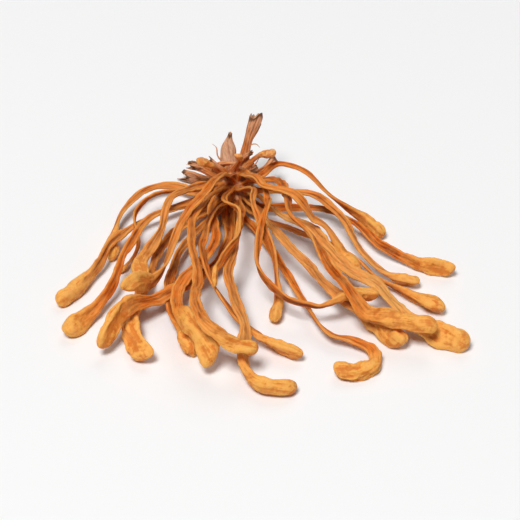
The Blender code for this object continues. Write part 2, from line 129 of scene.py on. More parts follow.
class ClubSkin(Enum):
    """How a club dried."""

    PLUMP = Relief(0.14, 0.07, 0.30, 0.24, 0.36, 0.14, 0.030)
    DIMPLED = Relief(0.22, 0.09, 0.38, 0.30, 0.46, 0.34, 0.035, 0.55)
    SUNKEN = Relief(0.55, 0.10, 0.38, 0.38, 0.54, 0.20, 0.035)
    GRAINY = Relief(0.20, 0.10, 0.46, 0.30, 0.64, 0.34, 0.085)
    RIDGED = Relief(0.26, 0.15, 0.32, 0.62, 0.44, 0.16, 0.035)


class Seed(IntEnum):
    """The seed of each random pattern. Where a pattern is on several pieces, their number is added."""

    STEM_STRANDS = 50
    SWELLS = 100
    DIMPLES = 150
    GRAIN = 200
    WRINKLES = 250
    FOOT_STRANDS = 300
    FOOT_TEETH = 330
    BUD_STRANDS = 360
    BUD_SWELLS = 370
    BUD_WRINKLES = 380
    KNOT = 400
    CORE_DRIFT = 410
    ARM_FOLDS = 420
    BALL_FOLDS = 425
    ARM_FIBRES = 430
    BALL_FIBRES = 435
    CORE_AGE = 440
    CORE_BLEACH = 450
    LOOSE_STRANDS = 500


class Drift(Enum):
    """What changes slowly along a stem: the run of about one swing in millimetres, and a channel."""

    GROOVE_PLACE = (9.0, 1)
    GROOVE_DEPTH = (11.0, 2)
    SUNKEN_FACES = (4.0, 3)
    CREASE_PLACE = (4.5, 4)
    CREASE_DEPTH = (6.0, 5)
    FINE_LINES = (3.5, 6)
    AGE = (14.0, 7)
    WIDTH = (5.5, 8)
    ROLL = (8.0, 9)
    BLEACH = (22.0, 10)
    FACE_FOLD = (13.0, 11)
    RIGHT_EDGE = (1.5, 12)
    LEFT_EDGE = (1.5, 13)
    LONG_FOLDS = (5.0, 14)
    THREE_RIDGES = (7.0, 15)
    FIVE_RIDGES = (5.0, 16)
    RIGHT_FLANK = (2.8, 17)
    LEFT_FLANK = (2.8, 18)
    STAIN = (3.0, 19)


# ---------------------------------------------------------------- curves and noise

CHANNEL_GAP = 7.7  # how far apart two drifts lie in the noise that they read
CELL_PRIMES = (73856093, 19349663, 83492791)
SEED_PRIME, MIX_PRIME = 2654435761, 1274126177
WHOLE_BITS, LOW_BITS = 0xFFFFFFFF, 0xFFFF
SLANT_DRAW, TONE_DRAW, PALE_DRAW = (5.1, 1.0), (7.7, 0.5), (12.99, 2.0)  # what a stem has of its own


def eased(u: np.ndarray) -> np.ndarray:
    """0 to 1 with a level start and end: 3u^2 - 2u^3, held outside that span."""
    u = np.clip(u, 0.0, 1.0)
    return u * u * (3.0 - 2.0 * u)


def distance_along(path: np.ndarray) -> np.ndarray:
    """Distance of each point from the start of the path: the running sum of its steps."""
    steps = np.linalg.norm(np.diff(path, axis=0), axis=1)
    return np.concatenate(((0.0,), np.cumsum(steps)))


def at_distances(values: np.ndarray, along: np.ndarray, stops: np.ndarray) -> np.ndarray:
    """The columns of values, read by straight interpolation at other distances."""
    return np.column_stack([np.interp(stops, along, column) for column in values.T])


def angles_round(sides: int) -> np.ndarray:
    """Even angles round a section, in one row."""
    return 2.0 * math.pi * np.arange(sides)[None, :] / sides


def smooth_curve(points: np.ndarray, spacing: float) -> np.ndarray:
    """Points along a Catmull-Rom spline through the given ones.

    On the span from b to c, with a before and d after:
    b + ((c - a)u + (2a - 5b + 4c - d)u^2 + (3b - a - 3c + d)u^3) / 2.

    Args:
        points: the points to pass through, one per row.
        spacing: about how far apart the new points are.

    Returns:
        The new points, evenly spaced, the first and last kept.
    """
    knots = np.vstack((2 * points[0] - points[1], points, 2 * points[-1] - points[-2]))
    u = np.linspace(0.0, 1.0, SPAN_POINTS, endpoint=False)[None, :, None]
    a, b, c, d = (knots[k:len(knots) - 3 + k, None, :] for k in range(4))
    bend = (2 * a - 5 * b + 4 * c - d) * u**2 + (3 * b - a - 3 * c + d) * u**3
    spans = b + 0.5 * ((c - a) * u + bend)
    curve = np.vstack((spans.reshape(-1, points.shape[1]), points[-1:]))
    along = distance_along(curve)
    count = max(int(round(along[-1] / spacing)), 2)
    return at_distances(curve, along, np.linspace(0.0, along[-1], count + 1))


def frames_along(path: np.ndarray) -> tuple[np.ndarray, np.ndarray, np.ndarray]:
    """The directions at each point of a path.

    The side is tangent x up, made a unit, and the normal is side x tangent.

    Args:
        path: its points, one per row.

    Returns:
        The unit tangent, the level side and the upward normal.
    """
    tangent = np.gradient(path, axis=0)
    tangent /= np.linalg.norm(tangent, axis=1)[:, None]
    side = np.cross(tangent, (0.0, 0.0, 1.0))
    side /= np.linalg.norm(side, axis=1)[:, None]
    return tangent, side, np.cross(side, tangent)


def kinks(along: np.ndarray, phase: float, run: float = KINK_RUN) -> np.ndarray:
    """Offsets from -1 to 1 that run straight between unevenly spaced bends.

    Bend n lies at (n + 0.35 sin(4.7n + 3.1 phase)) runs, and its offset is sin(12.99n + 7.3 phase).

    Args:
        along: distances along the stem, rising.
        phase: the stem's own shift.
        run: about how far apart the bends are.

    Returns:
        The offset at each distance.
    """
    count = np.arange(int(along[-1] / run) + 2)
    places = run * (count + 0.35 * np.sin(4.7 * count + 3.1 * phase))
    return np.interp(along, places, np.sin(12.99 * count + 7.3 * phase))


def lattice(cells: np.ndarray, seed: int) -> np.ndarray:
    """A fixed value for each whole-number cell.

    The cell's numbers times three primes are joined with the seed, and their bits are mixed.

    Args:
        cells: the cells, with x, y and z on the last axis.
        seed: it gives the pattern.

    Returns:
        A value from -1 to 1 for each cell.
    """
    first, second, third = (cells[..., axis] * prime for axis, prime in enumerate(CELL_PRIMES))
    mixed = (first ^ second ^ third ^ seed * SEED_PRIME) & WHOLE_BITS
    mixed = ((mixed ^ mixed >> 13) * MIX_PRIME) & WHOLE_BITS
    return ((mixed ^ mixed >> 16) & LOW_BITS) / (0.5 * LOW_BITS) - 1.0


def ripple(points: np.ndarray, seed: int) -> np.ndarray:
    """Smooth random values from -1 to 1 over space, about one swing per unit.

    Each point mixes the lattice values at its cell's eight corners, by eased distances.

    Args:
        points: the places, with x, y and z on the last axis.
        seed: another seed gives another pattern.

    Returns:
        One value for each point.
    """
    cells = np.floor(points).astype(np.int64)
    part = eased(points - cells)
    total = np.zeros(points.shape[:-1])
    for corner in np.ndindex(2, 2, 2):
        share = np.prod(np.where(corner, part, 1.0 - part), axis=-1)
        total += share * lattice(cells + corner, seed)
    return total


def creases(angle: np.ndarray, folds: int, drift: np.ndarray, width: float) -> np.ndarray:
    """1 along each crease's bottom, falling to 0 beside it: exp(-|sin(folds a/2 + drift)|/width)."""
    return np.exp(-np.abs(np.sin(0.5 * folds * angle + drift)) / width)


def fibre_places(mean: np.ndarray, angle: np.ndarray, run: np.ndarray, start: float) -> np.ndarray:
    """Places in the pattern of the fibres: (r cos a, r sin a, run + start), r the mean radius."""
    places = np.stack((mean * np.cos(angle), mean * np.sin(angle), run + 0.0 * angle), axis=-1)
    return places + (0.0, 0.0, start)


def own_draw(number: int, draw: tuple[float, float]) -> float:
    """A stem's own value, from -1 to 1: the sine of its number times a pitch, from a start."""
    return math.sin(draw[0] * number + draw[1])


def weighed(marks: dict[str, np.ndarray], shares: dict[str, float], start: object) -> np.ndarray:
    """The start value plus each named mark times its share."""
    return sum((share * marks[name] for name, share in shares.items()), start)


# ---------------------------------------------------------------- surfaces and meshes


@dataclass
class Skin:
    """What a finish reads, over a grid of rings or over a shell's points."""

    crest: np.ndarray  # 0 in a furrow, 1 on an edge: the flesh's own darker furrows and paler edges, with painted shade in the hollows and a painted highlight on edges and ridges
    club: np.ndarray  # 0 on a stem, 1 on a club
    age: np.ndarray  # 0 orange, 1 brown
    bleach: np.ndarray  # 0 orange, 1 pale tan
    fibre: np.ndarray  # across, across and along the fibres, on the last axis


@dataclass
class Shell(Skin):
    """A closed surface in millimetres from below the knot's centre."""

    points: np.ndarray  # (n, 3)
    quads: np.ndarray  # (q, 4) corners
    triangles: np.ndarray  # (t, 3) corners


def with_poles(grid: np.ndarray, tip: np.ndarray | None = None) -> np.ndarray:
    """A grid's values as rows, then its start pole and its end pole.

    Args:
        grid: values over rings and sides, with one or more numbers on the last axis.
        tip: the end pole, or None for the mean of the last ring.

    Returns:
        The rows. The start pole is the mean of the first ring.
    """
    rows = grid.reshape(-1, grid.shape[-1])
    last = grid[-1].mean(axis=0) if tip is None else tip
    return np.vstack((rows, grid[0].mean(axis=0), last))


def grid_shell(points: np.ndarray, skin: Skin, tip: np.ndarray | None = None) -> Shell:
    """A closed shell over a grid of rings, faces outwards, flat where it would pass below z = 0.

    A face joins ring r's point k to ring r+1's, then both to the next point round. Each end is
    closed by a fan to its pole.

    Args:
        points: the grid, with x, y and z on the last axis.
        skin: the masks over it.
        tip: the end pole, or None for the middle of the last ring.

    Returns:
        The shell.
    """
    rings, sides = points.shape[:2]
    first = np.arange((rings - 1) * sides).reshape(rings - 1, sides)
    after = np.roll(first, -1, axis=1)
    quads = np.stack((first, first + sides, after + sides, after), axis=-1).reshape(-1, 4)
    start = np.arange(sides)
    end = start + (rings - 1) * sides
    pole = np.full(sides, rings * sides)
    near = np.stack((pole, start, np.roll(start, -1)), axis=-1)
    far = np.stack((pole + 1, np.roll(end, -1), end), axis=-1)
    rows = with_poles(points, tip)
    rows[:, 2] = np.maximum(rows[:, 2], 0.0)
    masks = (
        with_poles(np.broadcast_to(mask, (rings, sides))[..., None])[:, 0]
        for mask in (skin.crest, skin.club, skin.age, skin.bleach)
    )
    return Shell(*masks, with_poles(skin.fibre), rows, quads, np.vstack((near, far)))


def outward(points: np.ndarray) -> np.ndarray:
    """Outward normals of a grid: the step along crossed with the step round, made a unit.

    Args:
        points: the grid, with x, y and z on the last axis.

    Returns:
        The unit normals.
    """
    along = np.gradient(points, axis=0)
    round_ = np.roll(points, -1, axis=1) - np.roll(points, 1, axis=1)
    normal = np.cross(along, round_)
    return normal / np.maximum(np.linalg.norm(normal, axis=-1, keepdims=True), TINY)


def placed(name: str, data: bpy.types.ID) -> bpy.types.Object:
    """A new object in the scene.

    Args:
        name: its name.
        data: its mesh, light or camera.

    Returns:
        The object.
    """
    piece = bpy.data.objects.new(name, data)
    bpy.context.scene.collection.objects.link(piece)
    return piece


def shells_mesh(name: str, shells: list[Shell]) -> bpy.types.Mesh:
    """One mesh of the shells, in metres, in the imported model's place.

    Args:
        name: the mesh's name.
        shells: closed surfaces in millimetres.

    Returns:
        The mesh.
    """
    starts = np.cumsum([0] + [len(shell.points) for shell in shells])[:-1]
    quads = np.vstack([shell.quads + start for shell, start in zip(shells, starts)])
    triangles = np.vstack([shell.triangles + start for shell, start in zip(shells, starts)])
    points = (np.vstack([shell.points for shell in shells]) + (KNOT[0], KNOT[1], 0.0)) * MM
    corners = np.concatenate((quads.ravel(), triangles.ravel()))
    firsts = np.concatenate((4 * np.arange(len(quads)), quads.size + 3 * np.arange(len(triangles))))
    mesh = bpy.data.meshes.new(name)
    mesh.vertices.add(len(points))
    mesh.vertices.foreach_set("co", points.astype(np.float32).ravel())
    mesh.loops.add(len(corners))
    mesh.loops.foreach_set("vertex_index", corners.astype(np.int32))
    mesh.polygons.add(len(firsts))
    mesh.polygons.foreach_set("loop_start", firsts.astype(np.int32))
    mesh.update(calc_edges=True)
    return mesh


def new_piece(name: str, shells: list[Shell], material: bpy.types.Material) -> bpy.types.Object:
    """One object of the shells, with the values that its finish reads on each point.

    Args:
        name: the piece's name.
        shells: its closed surfaces.
        material: its finish.

    Returns:
        The object, at the origin, unturned.
    """
    mesh = shells_mesh(name, shells)
    for label in ("crest", "club", "age", "bleach"):
        values = np.concatenate([getattr(shell, label) for shell in shells])
        mesh.attributes.new(label, "FLOAT", "POINT").data.foreach_set("value", values.astype(np.float32))
    fibre = np.vstack([shell.fibre for shell in shells]).astype(np.float32)
    mesh.attributes.new("fibre", "FLOAT_VECTOR", "POINT").data.foreach_set("vector", fibre.ravel())
    mesh.materials.append(material)
    mesh.shade_smooth()
    return placed(name, mesh)


# ---------------------------------------------------------------- stems


@dataclass
class Section:
    """The flat oval of a stem at each of a row of distances, in millimetres and radians."""

    half_width: np.ndarray
    half_thickness: np.ndarray
    roll: np.ndarray
    swell: np.ndarray  # 0 on the stem, 1 on the full club

    def side_and_up(self) -> tuple[np.ndarray, np.ndarray]:
        """How far the rolled oval reaches.

        Returns:
            Its reach sideways and its reach upwards.
        """
        side = np.hypot(self.half_width * np.cos(self.roll), self.half_thickness * np.sin(self.roll))
        up = np.hypot(self.half_width * np.sin(self.roll), self.half_thickness * np.cos(self.roll))
        return side, up


@dataclass(frozen=True)
class Club:
    """The club at a stem's end."""

    length: float
    width: float
    thickness: float
    full: float  # share of its length, from the tip, that has its full width
    tip: float  # length of its rounded tip in half widths: below 1 it is blunt, above it narrows


@dataclass(frozen=True)
class Stem:
    """One stem and its club, by given plan points from the knot's centre."""

    name: str
    layer: Layer
    azimuth: float  # direction in which it leaves the knot, degrees from +X towards +Y
    route: tuple  # plan points after the fork, the last at the tip
    crest: float  # highest point of its arch
    crest_at: float  # where along the stem that is, 0 to 1
    width: float
    thickness: float
    club: Club
    turn: tuple  # turn of the flat section at the fork and at the tip, degrees
    phase: float  # shifts its bends and waves
    skin: ClubSkin = ClubSkin.PLUMP
    stain: float | None = None  # where along the stem a brown stain lies, 0 to 1

    def fork(self) -> np.ndarray:
        """Where it leaves the knot, in plan."""
        heading = math.radians(self.azimuth)
        return self.layer.value[0] * np.array((math.cos(heading), math.sin(heading)))

    def arch_height(self, u: np.ndarray) -> np.ndarray:
        """Height of the stem's middle: a quarter sine up to the crest, then an eased fall.

        Args:
            u: how far along the stem, 0 at the fork and 1 at the tip.

        Returns:
            The height at each place.
        """
        start = self.layer.value[1]
        rest = 0.5 * self.club.thickness + FLOOR_AIR
        rise = (self.crest - start) * np.sin(0.5 * math.pi * np.clip(u / self.crest_at, 0, 1))
        fall = (rest - self.crest) * eased((u - self.crest_at) / (DOWN_BY - self.crest_at))
        return start + rise + fall

    def kinked(self, path: np.ndarray, fork_at: float) -> np.ndarray:
        """Adds the bends and small waves that drying leaves.

        Kinks and a small sine sideways, and kinks upwards that grow with the height above
        LIFTED_FROM, all eased in over the first KINK_EASE after the fork.

        Args:
            path: points every STEP along the stem.
            fork_at: the fork's distance along it.

        Returns:
            The kinked path.
        """
        along = distance_along(path)
        heading = np.gradient(path[:, :2], axis=0)
        heading /= np.linalg.norm(heading, axis=1)[:, None]
        across = np.column_stack((-heading[:, 1], heading[:, 0]))
        size = eased((along - fork_at) / KINK_EASE)
        height, run, turn = WOBBLE
        wobble = height * np.sin(along / run + turn * self.phase)
        sideways = KINK_SIZE * kinks(along, self.phase) + wobble
        lifted = LIFTED_KINK * np.clip(path[:, 2] - LIFTED_FROM, 0.0, LIFTED_RANGE)
        upwards = lifted * kinks(along, self.phase + LIFTED_SHIFT)
        kinked = path.copy()
        kinked[:, :2] += across * (sideways * size)[:, None]
        kinked[:, 2] += upwards * size
        return kinked

    def section(self, along: np.ndarray, length: float, fork_at: float) -> Section:
        """The stem's section at the given distances.

        The half sizes go from the stem's, which waves, starts thicker and grows wider on its way,
        to the club's, by a share that is half even and half eased. They round off as an ellipse
        over the club's tip.

        Args:
            along: distances along the path.
            length: the whole path's length.
            fork_at: the fork's distance along it.

        Returns:
            The section at each distance.
        """
        from_tip = length - along
        u = np.clip((along - fork_at) / (length - fork_at), 0.0, 1.0)
        club = self.club
        neck = np.clip((from_tip / club.length - club.full) / (1.0 - club.full), 0.0, 1.0)
        swell = 1.0 - 0.5 * (neck + eased(neck))
        root = 1.0 + ROOT_SWELL * (1.0 - eased((along - fork_at) / ROOT_RUN))
        waves = 1.0 + sum(size * np.sin(along / run + turn * self.phase) for size, run, turn in WAVES)
        growth = 1.0 + WIDENING * eased((u - WIDENING_FROM) / WIDENING_RANGE)
        size, run, turn = CLUB_WAVE
        lumps = 1.0 + size * np.sin(from_tip / run + turn * self.phase)
        lean = 1.0 - swell
        half_width = 0.5 * (self.width * waves * growth * root * lean + club.width * lumps * swell)
        half_thickness = 0.5 * (self.thickness / waves * root * lean + club.thickness * swell)
        to_tip = np.clip(from_tip / (0.5 * club.width * club.tip), 0.0, 1.0)
        rounding = np.sqrt(1.0 - (1.0 - to_tip) ** 2)
        turning = TWIST * np.sin(along / TWIST_RUN + self.phase)
        roll = np.radians(self.turn[0] + (self.turn[1] - self.turn[0]) * u + turning)
        return Section(half_width * rounding, half_thickness * rounding, roll, swell)


def rings_at(path: np.ndarray, stops: np.ndarray) -> tuple[np.ndarray, ...]:
    """Centre, side, up and ahead at distances along a path.

    Args:
        path: its points, one per row.
        stops: the distances.

    Returns:
        The four, each with a row for every ring.
    """
    tangent, side, up = frames_along(path)
    rows = at_distances(np.column_stack((path, side, up, tangent)), distance_along(path), stops)
    return tuple(rows[:, None, start:start + 3] for start in range(0, 12, 3))


def swept(rings: tuple, x: np.ndarray, y: np.ndarray, roll: np.ndarray) -> np.ndarray:
    """A section's points: centre + (x cos r - y sin r) side + (x sin r + y cos r) up.

    Args:
        rings: the rings' centres and directions.
        x: how far each point lies across the section.
        y: how far it lies over it.
        roll: the section's turn r at each ring, in radians.

    Returns:
        The points over rings and sides.
    """
    centre, side, up, _ = rings
    sideways = x * np.cos(roll) - y * np.sin(roll)
    upwards = x * np.sin(roll) + y * np.cos(roll)
    return centre + sideways[..., None] * side + upwards[..., None] * up


@dataclass
class StemGrid:
    """The places on a stem's skin: a row for each ring, and a column for each side."""

    number: int  # the stem's place in the laying order, which shifts its patterns
    phase: float  # the stem's own shift
    s: np.ndarray  # distance along the stem
    length: float  # distance to its tip
    mean: np.ndarray  # mean radius
    swell: np.ndarray  # 0 on the stem, 1 on the full club
    root: np.ndarray  # 1 in the knot, 0 beyond the fork
    off_tip: np.ndarray  # 0 at the tip, 1 where its rounding has ended

    def __post_init__(self) -> None:
        """Works out the angles round the section, and each point's place among the fibres."""
        self.left = self.length - self.s
        self.lean = 1.0 - self.swell
        self.angle = angles_round(AROUND)
        self.across, self.over = np.cos(self.angle), np.sin(self.angle)
        start = FIBRE_SHIFT * self.number
        self.fibre = fibre_places(self.mean, self.angle, self.s / STEM_FIBRE_RUN, start)

    def drifting(self, drift: Drift) -> np.ndarray:
        """Slow random values along the stem.

        Args:
            drift: what they are for.

        Returns:
            A value from -1 to 1 for each ring.
        """
        run, channel = drift.value
        channels = np.full_like(self.s, CHANNEL_GAP * channel)
        return ripple(np.stack((self.s / run, channels, 0.0 * self.s), axis=-1), self.number)


@dataclass(frozen=True)
class Groove:
    """The groove that wanders along each broad face of a stem, and a sharp fold beside it.

    Places and widths are in half widths of the section, and depths in half thicknesses.
    """

    sway: tuple = (0.22, 9.0)  # how far the groove sways, and over what run
    stray: float = 0.2
    width: float = 0.5
    depth: tuple = (0.42, 0.25)  # on the average, and how far it changes along the stem
    fold: tuple = (0.12, 0.1, 0.45)  # the fold's place, its width and how strongly it shows

    def marks(self, grid: StemGrid) -> dict[str, np.ndarray]:
        """The groove, a bell exp(-(x/width)^2) across the face, and the fold, exp(-|x|/width).

        Args:
            grid: the places on the skin.

        Returns:
            The depth of both, which fades towards the edges and on the club.
        """
        sway = np.sign(grid.over) * self.sway[0] * np.sin(grid.s / self.sway[1] + grid.phase)
        middle = sway + self.stray * grid.drifting(Drift.GROOVE_PLACE)
        face = np.sqrt(np.abs(grid.over)) * grid.lean
        depth = self.depth[0] + self.depth[1] * grid.drifting(Drift.GROOVE_DEPTH)
        groove = np.exp(-(((grid.across - middle) / self.width) ** 2)) * depth * face
        place, width, shown = self.fold
        fold = np.exp(-np.abs(grid.across - middle - place) / width) * face
        shown = np.clip(shown + grid.drifting(Drift.FACE_FOLD), 0.0, 1.0)
        return {"groove": groove, "fold": fold * shown}


@dataclass(frozen=True)
class ClubForm:
    """How a club's section has lost its even oval."""

    fallen: tuple = (0.75, 0.5)  # how much of its sinking shows on the average, and its change
    wander: tuple = (1.5, 2.0)  # how far its three and its five ridges wander round, in radians
    five: float = 0.6  # height of the five over that of the three
    flank: float = 0.13  # how far its two flanks swell and shrink apart, of its radius

    def marks(self, grid: StemGrid, relief: Relief) -> dict[str, np.ndarray]:
        """The faces, sunken by sin^4 a, the ridges, cos 3a and cos 5a, and two random flanks.

        Args:
            grid: the places on the skin.
            relief: what drying did to the club.

        Returns:
            How far each changes the section's radius.
        """
        fallen = self.fallen[0] + self.fallen[1] * grid.drifting(Drift.SUNKEN_FACES)
        wander = self.wander[0] * grid.drifting(Drift.THREE_RIDGES)
        three = np.cos(3.0 * grid.angle + wander + grid.phase)
        wander = self.wander[1] * grid.drifting(Drift.FIVE_RIDGES)
        five = np.cos(5.0 * grid.angle + wander - grid.phase)
        right = (1.0 + grid.across) * grid.drifting(Drift.RIGHT_FLANK)
        left = (1.0 - grid.across) * grid.drifting(Drift.LEFT_FLANK)
        return {
            "sunken": relief.sunken * grid.swell * grid.off_tip * grid.over**4 * fallen,
            "ridges": relief.ridges * grid.swell * (three + self.five * five),
            "flank": self.flank * grid.swell * (0.5 * (right + left)),
        }


@dataclass(frozen=True)
class Ribbon:
    """How the width and the turn of a stem vary, as it dried to a ribbon."""

    change: float = 0.20  # slow change of its width, as a share
    ragged: float = 0.12  # quick change of its width, apart for each edge
    slimmer: float = 0.11  # how much slimmer it is than its solid
    turn: float = 0.5  # how far it turns at random, in radians
    bends: tuple = (0.3, 2.2, 5.0)  # how far it turns from bend to bend, their phase and their run

    def width(self, grid: StemGrid) -> np.ndarray:
        """The width over the solid's: 1 on the club, and elsewhere changed slowly and quickly.

        Args:
            grid: the places on the skin.

        Returns:
            The factor at each place.
        """
        edges = grid.drifting(Drift.RIGHT_EDGE), grid.drifting(Drift.LEFT_EDGE)
        ragged = self.ragged * np.where(grid.across > 0.0, *edges)
        return 1.0 + grid.lean * (self.change * grid.drifting(Drift.WIDTH) + ragged - self.slimmer)

    def turning(self, grid: StemGrid) -> np.ndarray:
        """The further turn of the section: none in the knot or on the club.

        Args:
            grid: the places on the skin.

        Returns:
            The turn of each ring, in radians.
        """
        size, shift, run = self.bends
        bends = size * kinks(grid.s[:, 0], grid.phase + shift, run)[:, None]
        turning = self.turn * grid.drifting(Drift.ROLL) + bends
        return grid.lean * (1.0 - grid.root) * turning


@dataclass(frozen=True)
class CreaseSet:
    """A set of creases along a stem, which wander round it together."""

    count: int
    start: float  # where round the stem they lie, in radians
    follow: float  # how far they follow the stem's wander
    width: float
    shown: float  # how deep they are on the average, 0 to 1
    change: float
    drift: Drift

    def over(self, grid: StemGrid, wander: np.ndarray) -> np.ndarray:
        """The creases' depth at each place, 0 to 1, from the wander at each ring in radians."""
        shown = np.clip(self.shown + self.change * grid.drifting(self.drift), 0.0, 1.0)
        return creases(grid.angle, self.count, self.start + self.follow * wander, self.width) * shown


@dataclass(frozen=True)
class StemLines:
    """The creases, strands and long folds of a stem, and its edges."""

    deep: CreaseSet = CreaseSet(5, 0.0, 1.0, 0.15, 0.5, 0.9, Drift.CREASE_DEPTH)
    fine: CreaseSet = CreaseSet(9, 2.0, -1.4, 0.13, 0.5, 1.0, Drift.FINE_LINES)
    long_folds: CreaseSet = CreaseSet(6, 0.9, 1.1, 0.22, 0.6, 0.8, Drift.LONG_FOLDS)
    at_root: tuple = (4, 1.7, 0.16)  # count, start and width of the creases in the root
    sway: tuple = (1.3, 13.0)  # how far they sway round the stem, in radians, and over what run
    stray: float = 0.8
    edge: tuple = (0.58, 0.36)  # where the edges begin, in half widths, and over how much

    def marks(self, grid: StemGrid) -> dict[str, np.ndarray]:
        """The creases and the edges, 0 to 1, and the strands, -1 to 1.

        Args:
            grid: the places on the skin.

        Returns:
            How strong each is.
        """
        wander = self.sway[0] * np.sin(grid.s / self.sway[1] + grid.phase)
        wander = wander + self.stray * grid.drifting(Drift.CREASE_PLACE)
        count, start, width = self.at_root
        at_root = creases(grid.angle, count, start - wander, width) * grid.root
        return {
            "deep": np.maximum(self.deep.over(grid, wander), at_root),
            "fine_lines": self.fine.over(grid, wander),
            "long_folds": self.long_folds.over(grid, wander),
            "strands": ripple(grid.fibre * STEM_STRANDS, Seed.STEM_STRANDS + grid.number),
            "edge": eased((np.abs(grid.across) - self.edge[0]) / self.edge[1]),
        }


@dataclass(frozen=True)
class ClubSurface:
    """The uneven surface of a club. Runs are in millimetres."""

    swell_run: float = 2.9
    dimple_run: float = 1.25
    dimple_slope: tuple = (0.2, 0.6)  # from where, and over how much, its ripple makes a dimple
    grain_run: float = 0.45
    wrinkle_run: float = 1.9
    wrinkle_stretch: float = 0.55  # below 1 the wrinkles run along the club
    wrinkle_layers: tuple = ((0.5, 1.0), (0.32, 2.1), (0.22, 4.3))  # share and fineness of each
    scar: tuple = (0.55, 0.9, 0.8)  # its way from the tip in widths, its length and its width
    scar_ring: int = TIP_RINGS * 3  # the ring, from the tip, whose radius is used round it

    def marks(self, grid: StemGrid, base: np.ndarray, width: float, top: float) -> dict[str, np.ndarray]:
        """Swells, dimples and grain, wrinkles as layers of |ripple|, and the scar as a bell.

        Args:
            grid: the places on the skin.
            base: the points of the plain section there.
            width: the club's width.
            top: the angle round the section at which the tip's top lies.

        Returns:
            How strong each is.
        """
        number = grid.number
        wrinkled = fibre_places(grid.mean, grid.angle, self.wrinkle_stretch * grid.s, 0.0)
        wrinkled = wrinkled / self.wrinkle_run
        dimples = ripple(base / self.dimple_run, Seed.DIMPLES + number)
        place, scar_length, scar_width = self.scar
        past_scar = (grid.left - place * width) / scar_length
        beside = grid.mean[-self.scar_ring] * np.abs(np.angle(np.exp(1j * (grid.angle - top))))
        return {
            "swells": ripple(base / self.swell_run, Seed.SWELLS + number),
            "dimples": eased((dimples - self.dimple_slope[0]) / self.dimple_slope[1]),
            "grain": ripple(base / self.grain_run, Seed.GRAIN + number),
            "wrinkles": sum(
                share * np.abs(ripple(fineness * wrinkled, Seed.WRINKLES + number))
                for share, fineness in self.wrinkle_layers
            ),
            "scar": np.exp(-(past_scar**2) - (beside / scar_width) ** 2),
        }


@dataclass(frozen=True)
class Ageing:
    """How brown and how pale a stem has gone, 0 to 1."""

    everywhere: float = 0.05
    root: tuple = (0.34, 2.0, 15.0)  # how much browner it is in the knot, and where that fades
    change: float = 0.16
    stain: tuple = (0.75, 4.5)  # how much browner a stain is, and its reach along the stem
    blots: tuple = (0.5, 0.6, 0.4)  # what the upper side, chance and the strands add to a stain
    pale: tuple = (0.22, 0.42, 0.35)  # paleness of all stems, of each its own, and its slow change

    def brown(self, grid: StemGrid, strands: np.ndarray, stain_at: float | None) -> np.ndarray:
        """How brown each place is: most in the knot, and in a stain, a bell along the stem.

        Args:
            grid: the places on the skin.
            strands: the strands there.
            stain_at: how far along the stem a stain lies, or None.

        Returns:
            The mask.
        """
        browner, start, run = self.root
        brown = browner * (1.0 - eased((grid.s - start) / run)) + self.change * grid.drifting(Drift.AGE)
        if stain_at is not None:
            browner, reach = self.stain
            upper, chance, along = self.blots
            blotted = upper + upper * grid.over + chance * grid.drifting(Drift.STAIN) + along * strands
            stain = np.exp(-(((grid.s - stain_at) / reach) ** 2))
            brown = brown + browner * stain * np.clip(blotted, 0.0, 1.0)
        return np.clip(brown + self.everywhere, 0.0, 1.0)

    def bleach(self, grid: StemGrid) -> np.ndarray:
        """How pale each ring is: the stem's own paleness, and its slow change.

        Args:
            grid: the places on the skin.

        Returns:
            The mask.
        """
        every, own, change = self.pale
        bleach = every + own * own_draw(grid.number, PALE_DRAW) + change * grid.drifting(Drift.BLEACH)
        return np.clip(bleach, 0.0, 1.0)


# How high marks stand on a stem, in millimetres, and how far each takes its colour towards the edge's, or
# with a minus towards the furrow's. The colour shares paint shade into creases, grooves, folds and hollows
# and a highlight on edges and ridges, on top of the flesh's own darker furrows and paler edges.
STEM_HEIGHT = {"fine_lines": -0.08, "edge": 0.06, "strands": 0.05}
STEM_CREST = {
    "edge": 0.46, "deep": -0.55, "fine_lines": -0.36, "groove": -0.32, "fold": -0.5, "strands": 0.14,
}
CLUB_CREST = {
    "swells": 0.26, "dimples": -0.4, "grain": 0.22, "wrinkles": -1.25, "ridges": 1.4,
    "long_folds": -0.12, "edge": 0.12, "sunken": -0.6, "scar": -0.75,
}
FOLDED_CREST = -0.9  # what the height of a club's folds adds to the long folds' share, painting more shade in them
SUNKEN_CREST = 0.35  # what the depth of its sunken faces adds to the edge's share, painting a stronger highlight there
